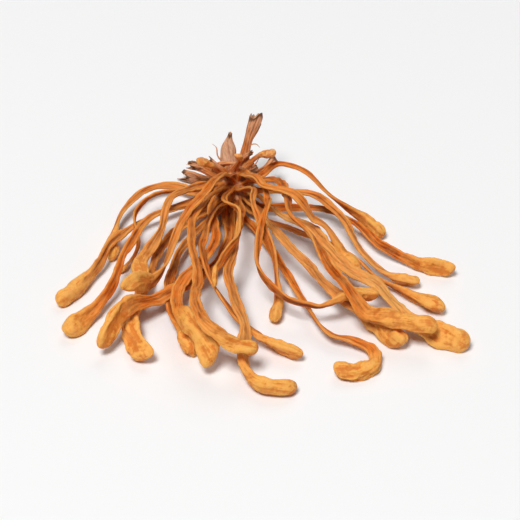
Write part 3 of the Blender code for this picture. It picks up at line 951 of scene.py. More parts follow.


@dataclass
class LaidStem:
    """A stem on its final path, from its root in the knot to the tip of its club."""

    stem: Stem
    path: np.ndarray
    fork_at: float
    number: int
    groove: Groove = Groove()
    form: ClubForm = ClubForm()
    ribbon: Ribbon = Ribbon()
    lines: StemLines = StemLines()
    surface: ClubSurface = ClubSurface()
    ageing: Ageing = Ageing()
    root_scale: float = 1.5  # how much thicker the root starts than the stem is at the fork
    root_beyond: float = 4.0  # how far beyond the fork the root's creases still show
    tip_share: float = 0.3  # over what share of a club's length, from its tip, its relief starts
    bends: tuple = (0.42, 1.3, 4.1, 5.0)  # size, phase, run and first stretch of small sharp bends
    bends_on_club: tuple = (0.35, 0.3)  # what is left of them there, and where they start to grow
    fold_depth: float = 0.2  # depth of the fold in each face, in half thicknesses
    slant: tuple = (0.5, 1.3)  # how far a tip ends aslant, in half widths, and over how many widths
    crease_depth: float = 0.20
    crease_at_root: float = 0.8  # how much deeper the creases are there, as a share
    mean_wrinkle: float = 0.25  # taken off the wrinkles, so that they leave a club its size
    grain_height: float = 0.012  # height of the grain that is also on the stem
    stem_tone: float = 0.57  # the crest mask where no mark changes it
    club_tone: float = 1.0
    own_tone: float = 0.09  # how far a stem's own tone differs
    underside_shade: tuple = (0.3, 0.45, 0.8)  # painted shade: how much darker it is painted where it faces down, and from where
    web_rings: int = 14
    web_beyond: float = 1.5  # how far past the fork the root's rings in the core reach
    web_thinning: tuple = (0.35, 0.75)  # where on the way to the fork they thin, and how far
    reach: tuple = field(init=False)

    def __post_init__(self) -> None:
        """Works out how far the section reaches along the path, for the stems laid later."""
        along = distance_along(self.path)
        self.reach = self.stem.section(along, along[-1], self.fork_at).side_and_up()

    def root_swelling(self, s: np.ndarray) -> np.ndarray:
        """How much thicker than the stem its root is: root_scale in the knot, eased to 1."""
        return 1.0 + (self.root_scale - 1.0) * (1.0 - eased(s / self.fork_at))

    @staticmethod
    def stops(length: float) -> np.ndarray:
        """Where the rings lie: every RING, then closer by the square of what is left to the tip.

        Args:
            length: the whole path's length.

        Returns:
            The distance of each along the stem.
        """
        body = np.linspace(0.0, length - TIP_ZONE, int((length - TIP_ZONE) / RING))
        left = TIP_ZONE * (1.0 - np.arange(1, TIP_RINGS) / TIP_RINGS) ** 2
        return np.concatenate((body, length - left))

    def crooked(self, path: np.ndarray) -> np.ndarray:
        """The path with small sharp bends to either side, which lessen on the club.

        Args:
            path: points every RING along the stem.

        Returns:
            The crooked path.
        """
        along = distance_along(path)
        left = (along[-1] - along) / self.stem.club.length
        size, shift, run, ease = self.bends
        kept, start = self.bends_on_club
        size = size * eased((along - self.fork_at) / ease)
        size = size * (kept + (1.0 - kept) * eased((left - start) / (1.0 - start)))
        sideways = size * kinks(along, self.stem.phase + shift, run)
        _, side, _ = frames_along(path)
        return path + side * sideways[:, None]

    def grid(self, s: np.ndarray, length: float, section: Section) -> StemGrid:
        """The places on the skin.

        Args:
            s: the distance of each ring, in one column.
            length: the whole path's length.
            section: the section at each ring.

        Returns:
            The grid.
        """
        mean = 0.5 * (section.half_width + section.half_thickness)[:, None] * self.root_swelling(s)
        root = 1.0 - eased(s / (self.fork_at + self.root_beyond))
        off_tip = eased((length - s) / (self.tip_share * self.stem.club.length))
        swell = section.swell[:, None]
        return StemGrid(self.number, self.stem.phase, s, length, mean, swell, root, off_tip)

    def outline(self, grid: StemGrid, marks: dict, section: Section, rings: tuple) -> np.ndarray:
        """The points of the section itself, before the fine relief.

        The oval times ribbon, ridges and flanks, with groove, fold and sunken faces taken off its
        thickness. Near the tip, points move ahead by how far across they lie.

        Args:
            grid: the places on the skin.
            marks: the groove, the fold and the form of the club.
            section: the section at each ring.
            rings: the rings' centres and directions.

        Returns:
            The points over rings and sides.
        """
        swollen = self.root_swelling(grid.s)
        lump = 1.0 + marks["ridges"] + marks["flank"]
        x = section.half_width[:, None] * swollen * self.ribbon.width(grid) * grid.across * lump
        fallen = 1.0 - marks["groove"] - self.fold_depth * marks["fold"] - marks["sunken"]
        y = section.half_thickness[:, None] * swollen * grid.over * lump * fallen
        roll = section.roll[:, None] + self.ribbon.turning(grid)
        at_tip = eased(1.0 - grid.left / (self.slant[1] * self.stem.club.width))
        slant = self.slant[0] * own_draw(self.number, SLANT_DRAW) * x * at_tip
        return swept(rings, x, y, roll) + slant[..., None] * rings[-1]

    def height(self, grid: StemGrid, marks: dict[str, np.ndarray]) -> np.ndarray:
        """How far the fine relief stands out, in millimetres.

        On the stem it is strands and edges less the creases. On the club it is swells, grain and
        wrinkles less dimples, folds and scar, and only the scar reaches the very tip.

        Args:
            grid: the places on the skin.
            marks: all the marks there.

        Returns:
            The height at each place.
        """
        relief = self.stem.skin.value
        depth = self.crease_depth * (1.0 + self.crease_at_root * grid.root)
        on_stem = weighed(marks, STEM_HEIGHT, -depth * marks["deep"])
        on_club = relief.swells * marks["swells"] - relief.dimples * marks["dimples"]
        on_club = on_club + relief.grain * marks["grain"]
        on_club = on_club + relief.wrinkles * (self.mean_wrinkle - marks["wrinkles"])
        on_club = grid.off_tip * (on_club - relief.folds * marks["long_folds"])
        on_club = grid.swell * (on_club - relief.scar * marks["scar"])
        return np.sqrt(grid.lean) * on_stem + on_club + self.grain_height * marks["grain"]

    def skin(self, grid: StemGrid, marks: dict[str, np.ndarray], normal: np.ndarray) -> Skin:
        """What the finish reads.

        Args:
            grid: the places on the skin.
            marks: all the marks there.
            normal: the unit normal there.

        Returns:
            The masks.
        """
        relief = self.stem.skin.value
        shares = dict(CLUB_CREST)
        shares["long_folds"] += FOLDED_CREST * relief.folds
        shares["edge"] += SUNKEN_CREST * relief.sunken
        shares["scar"] *= relief.scar > 0.0
        # The crest mask: painted shade in creases and hollows, a painted highlight on edges and ridges,
        # over the flesh's own tone.
        on_stem = weighed(marks, STEM_CREST, self.stem_tone)
        on_club = weighed(marks, shares, self.club_tone)
        own = self.own_tone * own_draw(self.number, TONE_DRAW)
        # Painted shade: the crest mask is lowered where the skin faces down, so that undersides are
        # painted darker.
        shade_depth, start, slope = self.underside_shade
        painted_shade = shade_depth * eased(start - slope * normal[..., 2])
        crest = grid.lean * on_stem + grid.swell * on_club + own - painted_shade
        stain_at = self.stem.stain
        if stain_at is not None:
            stain_at = self.fork_at + stain_at * (grid.length - self.fork_at)
        brown = self.ageing.brown(grid, marks["strands"], stain_at)
        return Skin(np.clip(crest, 0.0, 1.0), grid.swell, brown, self.ageing.bleach(grid), grid.fibre)

    def shell(self) -> Shell:
        """The stem's skin, root to tip.

        Rings of the flat oval follow the crooked path, and the fine relief then moves each point
        along its outward normal.

        Returns:
            The closed shell.
        """
        fine = self.crooked(smooth_curve(self.path, RING))
        length = distance_along(fine)[-1]
        stops = self.stops(length)
        section = self.stem.section(stops, length, self.fork_at)
        grid = self.grid(stops[:, None], length, section)
        marks = self.groove.marks(grid) | self.form.marks(grid, self.stem.skin.value)
        base = self.outline(grid, marks, section, rings_at(fine, stops))
        top = 0.5 * math.pi - section.roll[-1]
        marks |= self.lines.marks(grid)
        marks |= self.surface.marks(grid, base, self.stem.club.width, top)
        normal = outward(base)
        points = base + normal * self.height(grid, marks)[..., None]
        return grid_shell(points, self.skin(grid, marks, normal), fine[-1])

    def web(self) -> np.ndarray:
        """Coarse rings of the root that thin out beyond the fork, for the fused core.

        Returns:
            The rings' points.
        """
        stops = np.linspace(0.0, self.fork_at + self.web_beyond, self.web_rings)
        section = self.stem.section(stops, distance_along(self.path)[-1], self.fork_at)
        start, thinner = self.web_thinning
        past = (stops - start * self.fork_at) / ((1.0 - start) * self.fork_at + self.web_beyond)
        scale = self.root_swelling(stops) * (WEB_PROUD - thinner * eased(past))
        angle = angles_round(WEB_SIDES)
        x = (section.half_width * scale)[:, None] * np.cos(angle)
        y = (section.half_thickness * scale)[:, None] * np.sin(angle)
        return swept(rings_at(self.path, stops), x, y, section.roll[:, None])


# ---------------------------------------------------------------- the base


@dataclass(frozen=True)
class Spur:
    """A short branch of the base, along points from the knot's centre on the floor."""

    points: tuple
    root: float  # radius in the knot
    waist: float  # radius at its narrowest
    end: float  # radius at its end

    def radius(self, u: np.ndarray) -> np.ndarray:
        """Root to waist over the first 0.6 of the way, then waist to end, both eased."""
        narrowing = self.root + (self.waist - self.root) * eased(u / 0.6)
        return narrowing + (self.end - self.waist) * eased((u - 0.6) / 0.4)

    def tube(self, path: np.ndarray, radius: np.ndarray, sides: int) -> tuple[np.ndarray, np.ndarray]:
        """Flattened rings round a path.

        Args:
            path: the centre of each ring.
            radius: the ring's half width at each, or over each ring and side.
            sides: how many points a ring has.

        Returns:
            The rings, and the unit tangent at each.
        """
        tangent, side, up = frames_along(path)
        angle = angles_round(sides)[..., None]
        across = np.cos(angle) * side[:, None, :]
        over = SPUR_FLATNESS * np.sin(angle) * up[:, None, :]
        rings = path[:, None, :] + radius.reshape(len(path), -1, 1) * (across + over)
        return rings, tangent

    def web(self) -> np.ndarray:
        """Coarse rings of its root that thin out towards its end, for the fused core.

        The rings stop at 0.7 of its way, and thin from 0.2 of it on.

        Returns:
            The rings' points.
        """
        path = smooth_curve(np.array(self.points), STEP)
        u = distance_along(path) / distance_along(path)[-1]
        keep = u < 0.7
        radius = self.radius(u) * (WEB_PROUD - 0.8 * eased((u - 0.2) / 0.5))
        return self.tube(path[keep], radius[keep], WEB_SIDES)[0]


@dataclass(frozen=True)
class Foot(Spur):
    """An old foot, fibrous, with a torn hollow end."""

    sides: int = 52
    tear: tuple = (0.5, 1.5)  # height of the ragged teeth for each of the end radius, up to which
    hollow: tuple = (1.1, 1.8)  # depth of the torn end, and the end radius from which it is so deep
    bleach: float = 0.05  # 0 orange, 1 pale tan
    crease_depth: float = 0.11  # depth of the creases, as a share of its radius
    line_depth: float = 0.045  # the same for the fine lines
    strand_height: float = 0.07
    swings: tuple = (0.3, 0.45)  # how far the torn edge swings, twice and three times round, in end radii
    torn_from: float = 0.62  # where along it the points start to move with the edge
    inner_rings: tuple = ((0.9, 0.02), (0.78, 0.35), (0.55, 0.8), (0.25, 1.0))  # width and depth
    rim_width: float = 1.5  # how far from the torn edge it has gone brown
    paler: float = 0.68  # how much paler it is near its end

    def torn(self, u: np.ndarray, angle: np.ndarray, fibre: np.ndarray, number: int) -> np.ndarray:
        """How far each point moves along the foot, so that its end is torn.

        Sines of two and three times the angle, and teeth that are ripples across the fibres.

        Args:
            u: how far along the foot each ring lies, 0 to 1.
            angle: angles round it.
            fibre: the places among the fibres.
            number: the foot's place in the row.

        Returns:
            The shift, in millimetres.
        """
        twice, thrice = self.swings
        tear, widest = self.tear
        swing = thrice * np.sin(3 * angle + number) + twice * np.sin(2 * angle + 2 * number)
        teeth = tear * ripple(fibre * (1.6, 1.6, 0.0), Seed.FOOT_TEETH + number)
        torn = self.end * swing + teeth * min(self.end, widest)
        return torn * eased((u - self.torn_from) / (1.0 - self.torn_from))

    def hollowed(self, rings: np.ndarray, middle: np.ndarray, ahead: np.ndarray) -> np.ndarray:
        """The foot's rings, and then those that turn inwards and back down its hollow end.

        Args:
            rings: the rings up to the torn edge.
            middle: the middle of that edge.
            ahead: the foot's direction there.

        Returns:
            All the rings.
        """
        lip = rings[-1] - middle
        full, widest = self.hollow
        narrow = min(self.end, widest)
        inside = [middle + width * lip - depth * narrow / widest * full * ahead
                  for width, depth in self.inner_rings]
        return np.concatenate((rings, np.stack(inside)))

    def shell(self, number: int) -> Shell:
        """The foot's skin, root to torn end.

        Rings whose radius dips at creases that drift round the foot. Near the end each point
        moves along the foot to a torn edge, and the last rings turn inwards and back down. The
        foot pales towards that edge, and a thin rim along it is dark, further where the creases are.

        Args:
            number: the foot's place in the row, which shifts its pattern.

        Returns:
            The closed shell.
        """
        path = smooth_curve(np.array(self.points), RING)
        along = distance_along(path)[:, None]
        u = along / along[-1]
        angle = angles_round(self.sides)
        drift = 0.9 * np.sin(along / 8.0 + 2.1 * number) + 0.4 * np.sin(along / 3.1 + number)
        deep = creases(angle, 5, drift, 0.16)
        fine_lines = creases(angle, 11, 1.0 - 1.2 * drift, 0.25)
        mean = self.radius(u)
        fibre = fibre_places(mean, angle, along / SPUR_FIBRE_RUN, FOOT_FIBRES + FIBRE_SHIFT * number)
        strands = ripple(fibre * SPUR_STRANDS, Seed.FOOT_STRANDS + number)
        rings, tangent = self.tube(path, mean + 0.0 * angle, self.sides)
        height = -self.crease_depth * mean * deep - self.line_depth * mean * fine_lines
        height = height + self.strand_height * strands
        rings = rings + outward(rings) * height[..., None]
        shift = self.torn(u, angle, fibre, number)
        rings = rings + shift[..., None] * tangent[:, None, :]
        middle = path[-1] + 0.3 * shift[-1].mean() * tangent[-1]
        points = self.hollowed(rings, middle, tangent[-1])

        # Crest: the creases take painted shade, partly over the foot's own darker lines.
        crest = np.clip(0.5 - 0.5 * deep - 0.2 * fine_lines + 0.2 * strands, 0.0, 1.0)
        rim = eased(1.2 - (along[-1] - along + 0.6 * strands) / self.rim_width)
        dark = np.maximum(rim, 0.75 * deep * eased((u - 0.5) / 0.4))
        age = np.clip(0.12 + 0.1 * strands + 0.95 * dark, 0.0, 0.95)
        paler = (1.0 - self.bleach) * self.paler * eased((u - 0.55) / 0.42)
        bleach = self.bleach + paler + 0.0 * angle
        inner = len(self.inner_rings)
        crest, age, bleach = (
            np.pad(mask, ((0, inner), (0, 0)), constant_values=inside)
            for mask, inside in ((crest, 0.3), (age, 0.42), (bleach, 1.0))
        )
        fibre = np.concatenate((fibre, np.repeat(fibre[-1:], inner, axis=0)))
        return grid_shell(points, Skin(crest, np.zeros_like(crest), age, bleach, fibre))


@dataclass(frozen=True)
class Bud(Spur):
    """A small fruit body that stayed a bud, with a round tip."""

    sides: int = 36
    tip_rings: int = 9
    crease_depth: float = 0.22  # as a share of its radius
    strand_height: float = 0.07
    swell_height: float = 0.3
    wrinkle_height: float = 0.5

    def shell(self, number: int) -> Shell:
        """The bud's skin: rings along its path, then a half ball of its end radius.

        Creases fade where the bud swells to its small club, which has swells and wrinkles.

        Args:
            number: the bud's place in the row, which shifts its pattern.

        Returns:
            The closed shell.
        """
        path = smooth_curve(np.array(self.points), RING)
        heading = path[-1] - path[-2]
        heading = heading / np.linalg.norm(heading)
        step = np.arange(1, self.tip_rings + 1)
        beyond = self.end * np.sin(0.5 * math.pi * step / (self.tip_rings + 0.4))
        path = np.vstack((path, path[-1] + beyond[:, None] * heading))
        along = distance_along(path)[:, None]
        stem_length = along[-1] - beyond[-1]
        u = np.clip(along / stem_length, 0.0, 1.0)
        past = np.clip((along - stem_length) / self.end, 0.0, 1.0)
        angle = angles_round(self.sides)
        mean = self.radius(u) * np.sqrt(1.0 - past**2)
        rings, _ = self.tube(path, mean + 0.0 * angle, self.sides)
        swell = eased((u - 0.6) / 0.35)
        fibre = fibre_places(mean, angle, along / SPUR_FIBRE_RUN, BUD_FIBRES + FIBRE_SHIFT * number)
        deep = creases(angle, 5, 0.8 * np.sin(along / 4.0 + number), 0.16) * (1.0 - swell)
        strands = ripple(fibre * SPUR_STRANDS, Seed.BUD_STRANDS + number)
        swells = ripple(rings / 1.9, Seed.BUD_SWELLS + number)
        wrinkles = np.abs(ripple(rings / 1.1, Seed.BUD_WRINKLES + number))
        relief = self.swell_height * swells + self.wrinkle_height * (0.25 - wrinkles)
        height = (self.strand_height * strands + relief * swell) * (1.0 - past)
        points = rings + outward(rings) * (height - self.crease_depth * mean * deep)[..., None]
        # Crest: painted shade in the creases and between the wrinkles, a painted highlight on the swells,
        # over the bud's own colour.
        on_club = swell * (0.25 * swells - 0.7 * wrinkles)
        crest = np.clip(0.6 - 0.5 * deep + 0.15 * strands + on_club, 0.0, 1.0)
        age = np.clip(0.3 - 0.25 * swell + 0.1 * strands, 0.0, 1.0)
        return grid_shell(points, Skin(crest, swell, age, 0.3 * swell, fibre), path[-1] + 0.02 * heading)


@dataclass(frozen=True)
class Strand(Spur):
    """A strand that came loose: an arch grown in at both ends, or a thread that peeled off."""

    sides: int = 20
    bleach: float = 0.3

    def shell(self, number: int) -> Shell:
        """The strand's skin: creased rings along its path.

        Args:
            number: the strand's place in the row, which shifts its pattern.

        Returns:
            The closed shell.
        """
        path = smooth_curve(np.array(self.points), RING)
        along = distance_along(path)[:, None]
        angle = angles_round(self.sides)
        mean = self.radius(along / along[-1])
        fibre = fibre_places(mean, angle, along / SPUR_FIBRE_RUN, STRAND_FIBRES + FIBRE_SHIFT * number)
        deep = creases(angle, 4, 0.8 * np.sin(along / 3.0 + number), 0.2)
        strands = ripple(fibre * SPUR_STRANDS, Seed.LOOSE_STRANDS + number)
        points, _ = self.tube(path, mean * (1.0 - 0.25 * deep + 0.15 * strands), self.sides)
        # Crest: painted shade in the creases.
        crest = np.clip(0.66 - 0.5 * deep + 0.2 * strands, 0.0, 1.0)
        age = np.clip(0.14 + 0.2 * strands, 0.0, 1.0)
        return grid_shell(points, Skin(crest, np.zeros(1), age, np.full(1, self.bleach), fibre))


@dataclass
class Base:
    """The knot in which stems and feet are grown together, with its feet, buds and strands."""

    feet: tuple[Foot, ...]
    stubs: tuple[Foot, ...]
    buds: tuple[Bud, ...]
    strands: tuple[Strand, ...]
    smoothing: int = 5
    rings: int = 24
    sides: int = 36
    pole: float = 0.05  # the angle that is left out at the knot's top and bottom
    swing: float = 0.12  # how far its radius swings
    hump: float = 1.4  # height of its upper half over its ball's, for the torn roots on it
    fold_height: float = 0.42
    fold_width: float = 0.16
    fibre_height: float = 0.12
    arm_from: float = 5.5  # how far from the centre the arms start
    arm_range: float = 3.0
    slowed: float = 0.22  # how slowly the patterns on the ball change from front to back
    fibre_radius: float = 5.5  # the radius at which the finish reads its fibres

    def knot(self) -> np.ndarray:
        """Rings of the knot, top to bottom: an ellipsoid, taller above, whose radius swings.

        Returns:
            The rings' points.
        """
        polar = np.linspace(self.pole, math.pi - self.pole, self.rings)[:, None]
        angle = angles_round(self.sides)
        level = np.sin(polar)
        height = np.cos(polar) + 0.0 * angle
        ball = np.stack((level * np.cos(angle), level * np.sin(angle), height), axis=-1)
        swing = 1.0 + self.swing * ripple(ball * 2.3, Seed.KNOT)
        ball[..., 2] *= np.where(ball[..., 2] > 0.0, self.hump, 1.0)
        return ball * KNOT_RADII * swing[..., None] + (0.0, 0.0, KNOT[2])

    def fused(self, laid: list[LaidStem]) -> tuple[np.ndarray, np.ndarray, np.ndarray]:
        """The knot and the roots of stems, feet and buds as one surface, remeshed and smoothed.

        Args:
            laid: the stems on their paths.

        Returns:
            Its points, its unit normals and its triangles' corners.
        """
        grids = [self.knot()] + [stem.web() for stem in laid]
        grids += [spur.web() for spur in self.feet + self.stubs + self.buds]
        plain = [grid_shell(grid, Skin(*[np.zeros(1)] * 4, np.zeros_like(grid))) for grid in grids]
        rough = placed("rough_core", shells_mesh("rough_core", plain))
        fuse = rough.modifiers.new("fuse", "REMESH")
        fuse.mode = "VOXEL"
        fuse.voxel_size = CORE_VOXEL * MM
        soften = rough.modifiers.new("soften", "SMOOTH")
        soften.iterations = self.smoothing
        mesh = rough.evaluated_get(bpy.context.evaluated_depsgraph_get()).to_mesh()
        mesh.calc_loop_triangles()
        points = np.empty(3 * len(mesh.vertices), np.float32)
        normals = np.empty_like(points)
        triangles = np.empty(3 * len(mesh.loop_triangles), np.int32)
        mesh.vertices.foreach_get("co", points)
        mesh.vertex_normals.foreach_get("vector", normals)
        mesh.loop_triangles.foreach_get("vertices", triangles)
        bpy.data.objects.remove(rough, do_unlink=True)
        points = points.reshape(-1, 3).astype(float) / MM - (KNOT[0], KNOT[1], 0.0)
        return points, normals.reshape(-1, 3).astype(float), triangles.reshape(-1, 3)

    def core(self, laid: list[LaidStem]) -> Shell:
        """The fused knot, folded and fibrous.

        Its points move along their normals by folds and fibres, and a fold lies where its ripple
        crosses zero. Out on the arms both are ripples of direction alone, so they run away from
        the centre. On the ball they run from back to front: the ripple's place changes slowly
        with y.

        Args:
            laid: the stems on their paths.

        Returns:
            The shell.
        """
        points, normals, triangles = self.fused(laid)
        out = points - KNOT * (0.0, 0.0, 1.0)
        reach = np.linalg.norm(out, axis=1, keepdims=True)
        heading = out / np.maximum(reach, TINY)
        slow = 0.35 * ripple(points / 3.0, Seed.CORE_DRIFT)[:, None]
        arm = eased((reach[:, 0] - self.arm_from) / self.arm_range)
        ball = out * (1.0, self.slowed, 1.0) + 2.0 * slow
        arm_folds = ripple(heading * 6.5 + slow, Seed.ARM_FOLDS)
        ball_folds = ripple(ball / 1.1, Seed.BALL_FOLDS)
        folds = np.exp(-np.abs(arm * arm_folds + (1.0 - arm) * ball_folds) / self.fold_width)
        arm_fibres = ripple(heading * 15.0 + slow, Seed.ARM_FIBRES)
        ball_fibres = ripple(ball / 0.5, Seed.BALL_FIBRES)
        fibres = arm * arm_fibres + (1.0 - arm) * ball_fibres
        height = self.fibre_height * fibres - self.fold_height * folds
        points = points + normals * height[:, None]
        points[:, 2] = np.maximum(points[:, 2], 0.0)
        # Crest: painted shade in the folds, the raised fibres paler.
        crest = np.clip(0.5 - 0.6 * folds + 0.25 * fibres, 0.0, 1.0)
        age = np.clip(0.22 + 0.3 * ripple(points / 3.5, Seed.CORE_AGE) + 0.1 * fibres, 0.0, 1.0)
        bleach = np.clip(0.26 + 0.75 * ripple(points / 4.5, Seed.CORE_BLEACH), 0.0, 1.0)
        run = reach[:, 0] / SPUR_FIBRE_RUN + 3.0 * heading[:, 2] + CORE_FIBRES
        fibre = np.column_stack((heading[:, :2] * self.fibre_radius, run))
        club = np.zeros(len(points))
        return Shell(crest, club, age, bleach, fibre, points, np.empty((0, 4), int), triangles)

    def shells(self, laid: list[LaidStem]) -> list[Shell]:
        """The fused core, the feet, the stubs, the buds and the strands."""
        rows = (self.feet + self.stubs, self.buds, self.strands)
        return [self.core(laid)] + [spur.shell(place) for row in rows for place, spur in enumerate(row)]


# ---------------------------------------------------------------- finishes


class NodeBoard:
    """Adds nodes to a tree and wires them: an input is a socket to link, or a value to set."""

    def __init__(self, tree: bpy.types.NodeTree) -> None:
        """Starts on an emptied tree."""
        self.tree = tree
        tree.nodes.clear()

    def put(self, value: object, socket: bpy.types.NodeSocket) -> None:
        """Links a socket into another, or sets the value there.

        Args:
            value: the socket to link, or a number, a vector or a colour.
            socket: the input that takes it.
        """
        if isinstance(value, bpy.types.NodeSocket):
            self.tree.links.new(value, socket)
        elif socket.type == "RGBA":
            socket.default_value = (*value, 1.0)
        else:
            socket.default_value = value

    def node(self, kind: str, inputs: dict | None = None, **settings: object) -> bpy.types.Node:
        """A new node.

        Args:
            kind: its type.
            inputs: what goes into its sockets, by name or number.
            settings: its own properties.

        Returns:
            The node.
        """
        node = self.tree.nodes.new(kind)
        for label, value in settings.items():
            setattr(node, label, value)
        for label, value in (inputs or {}).items():
            self.put(value, node.inputs[label])
        return node

    def math(self, operation: str, first: object, second: object) -> bpy.types.NodeSocket:
        """The result of a Math node, held to 0 to 1."""
        node = self.node("ShaderNodeMath", {0: first, 1: second}, operation=operation, use_clamp=True)
        return node.outputs[0]

    def noise(self, vector: object, scale: float, detail: float = 2.0) -> bpy.types.NodeSocket:
        """The value of a Noise Texture."""
        node = self.node("ShaderNodeTexNoise", {"Vector": vector, "Scale": scale, "Detail": detail})
        return node.outputs["Fac"]

    def span(self, value: object, low: float, high: float, top: float = 1.0) -> bpy.types.NodeSocket:
        """The value, with low to high spread over 0 to `top` and held there."""
        node = self.node("ShaderNodeMapRange", {0: value, 1: low, 2: high, 3: 0.0, 4: top})
        return node.outputs[0]

    def part(self, value: object, share: float) -> bpy.types.NodeSocket:
        """A mask times a share."""
        return self.span(value, 0.0, 1.0, share)

    def blend(self, share: object, first: object, second: object) -> bpy.types.NodeSocket:
        """A mix of two colours.

        Args:
            share: how much of the second there is, 0 to 1.
            first: the colour at 0.
            second: the colour at 1.

        Returns:
            The mixed colour.
        """
        node = self.node("ShaderNodeMix", data_type="RGBA")
        for value, place in ((share, 0), (first, 6), (second, 7)):
            self.put(value, node.inputs[place])
        return node.outputs[2]


def new_material(name: str) -> tuple[bpy.types.Material, NodeBoard]:
    """A material without nodes, and its board.

    Args:
        name: its name.

    Returns:
        Both.
    """
    material = bpy.data.materials.new(name)
    material.use_nodes = True
    return material, NodeBoard(material.node_tree)


def new_group(name: str, inputs: dict[str, str], outputs: dict[str, str]) -> tuple:
    """A shader node group.

    Args:
        name: its name.
        inputs: the kind of each input socket, by name.
        outputs: the kind of each output socket, by name.

    Returns:
        The group, its board, and the sockets that give its inputs and take its outputs.
    """
    group = bpy.data.node_groups.new(name, "ShaderNodeTree")
    for way, sockets in (("INPUT", inputs), ("OUTPUT", outputs)):
        for label, kind in sockets.items():
            group.interface.new_socket(label, in_out=way, socket_type=f"NodeSocket{kind}")
    board = NodeBoard(group)
    return group, board, board.node("NodeGroupInput").outputs, board.node("NodeGroupOutput").inputs


def fibre_group() -> bpy.types.NodeTree:
    """Streaks along the fibres: noise that the fibre coordinates stretch, coarse and fine.

    Returns:
        The group.
    """
    group, board, given, result = new_group(
        "dry_fibres", {"Fibre": "Vector", "Strength": "Float"}, {"Streak": "Float", "Thread": "Float"}
    )
    streak = board.span(board.noise(given["Fibre"], 2.3, 3.0), 0.34, 0.66)
    thread = board.span(board.noise(given["Fibre"], 6.5), 0.36, 0.64)
    board.put(board.math("MULTIPLY", streak, given["Strength"]), result["Streak"])
    board.put(board.math("MULTIPLY", thread, given["Strength"]), result["Thread"])
    return group


def mottle_group() -> bpy.types.NodeTree:
    """Uneven drying: blotches some millimetres wide, small round spots and a fine grit.

    Returns:
        The group.
    """
    group, board, given, result = new_group(
        "dry_mottle",
        {"Place": "Vector", "Spots": "Float"},
        {"Blotch": "Float", "Spot": "Float", "Grit": "Float"},
    )
    spot = board.span(board.noise(given["Place"], 820.0), 0.5, 0.74)
    board.put(board.span(board.noise(given["Place"], 330.0), 0.4, 0.68), result["Blotch"])
    board.put(board.math("MULTIPLY", spot, given["Spots"]), result["Spot"])
    board.put(board.span(board.noise(given["Place"], 3200.0), 0.3, 0.7), result["Grit"])
    return group


COLOURS = ("Furrow", "Face", "Edge", "Head", "Pale", "Spotted", "Brown")
MASKS = ("Crest", "Club", "Age", "Bleach")


def flesh_colour(board: NodeBoard, given: object, fibres: object, mottle: object) -> bpy.types.NodeSocket:
    """The colour of dried flesh.

    It goes from furrow over face to edge by the crest mask, so that hollows carry painted shade and edges
    and ridges a painted highlight over the flesh's own tone, to the club's colour by the club mask, then
    takes streaks, blotches and spots, and last the brown of age.

    Args:
        board: the board of the group that it is worked out in.
        given: the group's input sockets.
        fibres: the sockets that put out streaks and threads.
        mottle: the sockets that put out blotches and spots.

    Returns:
        The colour's socket.
    """
    crest = board.math("SUBTRACT", given["Crest"], board.part(fibres["Streak"], 0.36))
    crest = board.math("ADD", crest, 0.16)
    on_club = board.part(given["Club"], 0.88)
    on_stem = board.math("SUBTRACT", 1.0, given["Club"])
    worn = board.math("ADD", given["Age"], board.part(fibres["Streak"], 0.18))
    streaked = board.math("MULTIPLY", board.span(fibres["Thread"], 0.35, 1.0, 0.42), on_stem)

    face = board.blend(board.part(given["Bleach"], 0.8), given["Face"], given["Pale"])
    face = board.blend(on_club, face, given["Head"])
    furrow = board.blend(on_club, given["Furrow"], given["Spotted"])
    colour = board.blend(board.span(crest, 0.1, 0.6), furrow, face)
    for share, over in (
        (board.span(crest, 0.66, 1.08, 0.85), "Edge"),
        (board.span(given["Bleach"], 0.55, 1.0, 0.4), "Pale"),
        (streaked, "Spotted"),
        (board.part(mottle["Blotch"], 0.25), "Pale"),
        (board.part(mottle["Spot"], 0.42), "Spotted"),
        (board.span(worn, 0.35, 1.05, 0.96), "Brown"),
    ):
        colour = board.blend(share, colour, given[over])
    return colour


def flesh_group(fibre: bpy.types.NodeTree, mottle: bpy.types.NodeTree) -> bpy.types.NodeTree:
    """The colour of dried flesh, its roughness and its fine relief.

    Roughness grows with threads and age. The relief is streaks and threads on the stem, and grit
    on the club.

    Args:
        fibre: the group of the streaks.
        mottle: the group of the blotches.

    Returns:
        The group.
    """
    inputs = {label: "Float" for label in MASKS}
    inputs |= {"Fibre": "Vector", "Place": "Vector"}
    inputs |= {label: "Color" for label in COLOURS}
    outputs = {"Color": "Color", "Roughness": "Float", "Height": "Float"}
    group, board, given, result = new_group("dried_flesh", inputs, outputs)
    run = board.node("ShaderNodeGroup", {"Fibre": given["Fibre"], "Strength": 1.0}, node_tree=fibre)
    spots = {"Place": given["Place"], "Spots": given["Club"]}
    patch = board.node("ShaderNodeGroup", spots, node_tree=mottle)
    streak, thread = run.outputs["Streak"], run.outputs["Thread"]
    board.put(flesh_colour(board, given, run.outputs, patch.outputs), result["Color"])

    rough = board.math("ADD", 0.5, board.part(thread, 0.16))
    board.put(board.math("ADD", rough, board.part(given["Age"], 0.25)), result["Roughness"])
    height = board.math("ADD", board.part(streak, 0.6), board.part(thread, 0.4))
    height = board.math("MULTIPLY", height, board.math("SUBTRACT", 1.0, given["Club"]))
    grainy = board.math("MULTIPLY", patch.outputs["Grit"], board.part(given["Club"], 0.45))
    board.put(board.math("ADD", height, grainy), result["Height"])
    return group


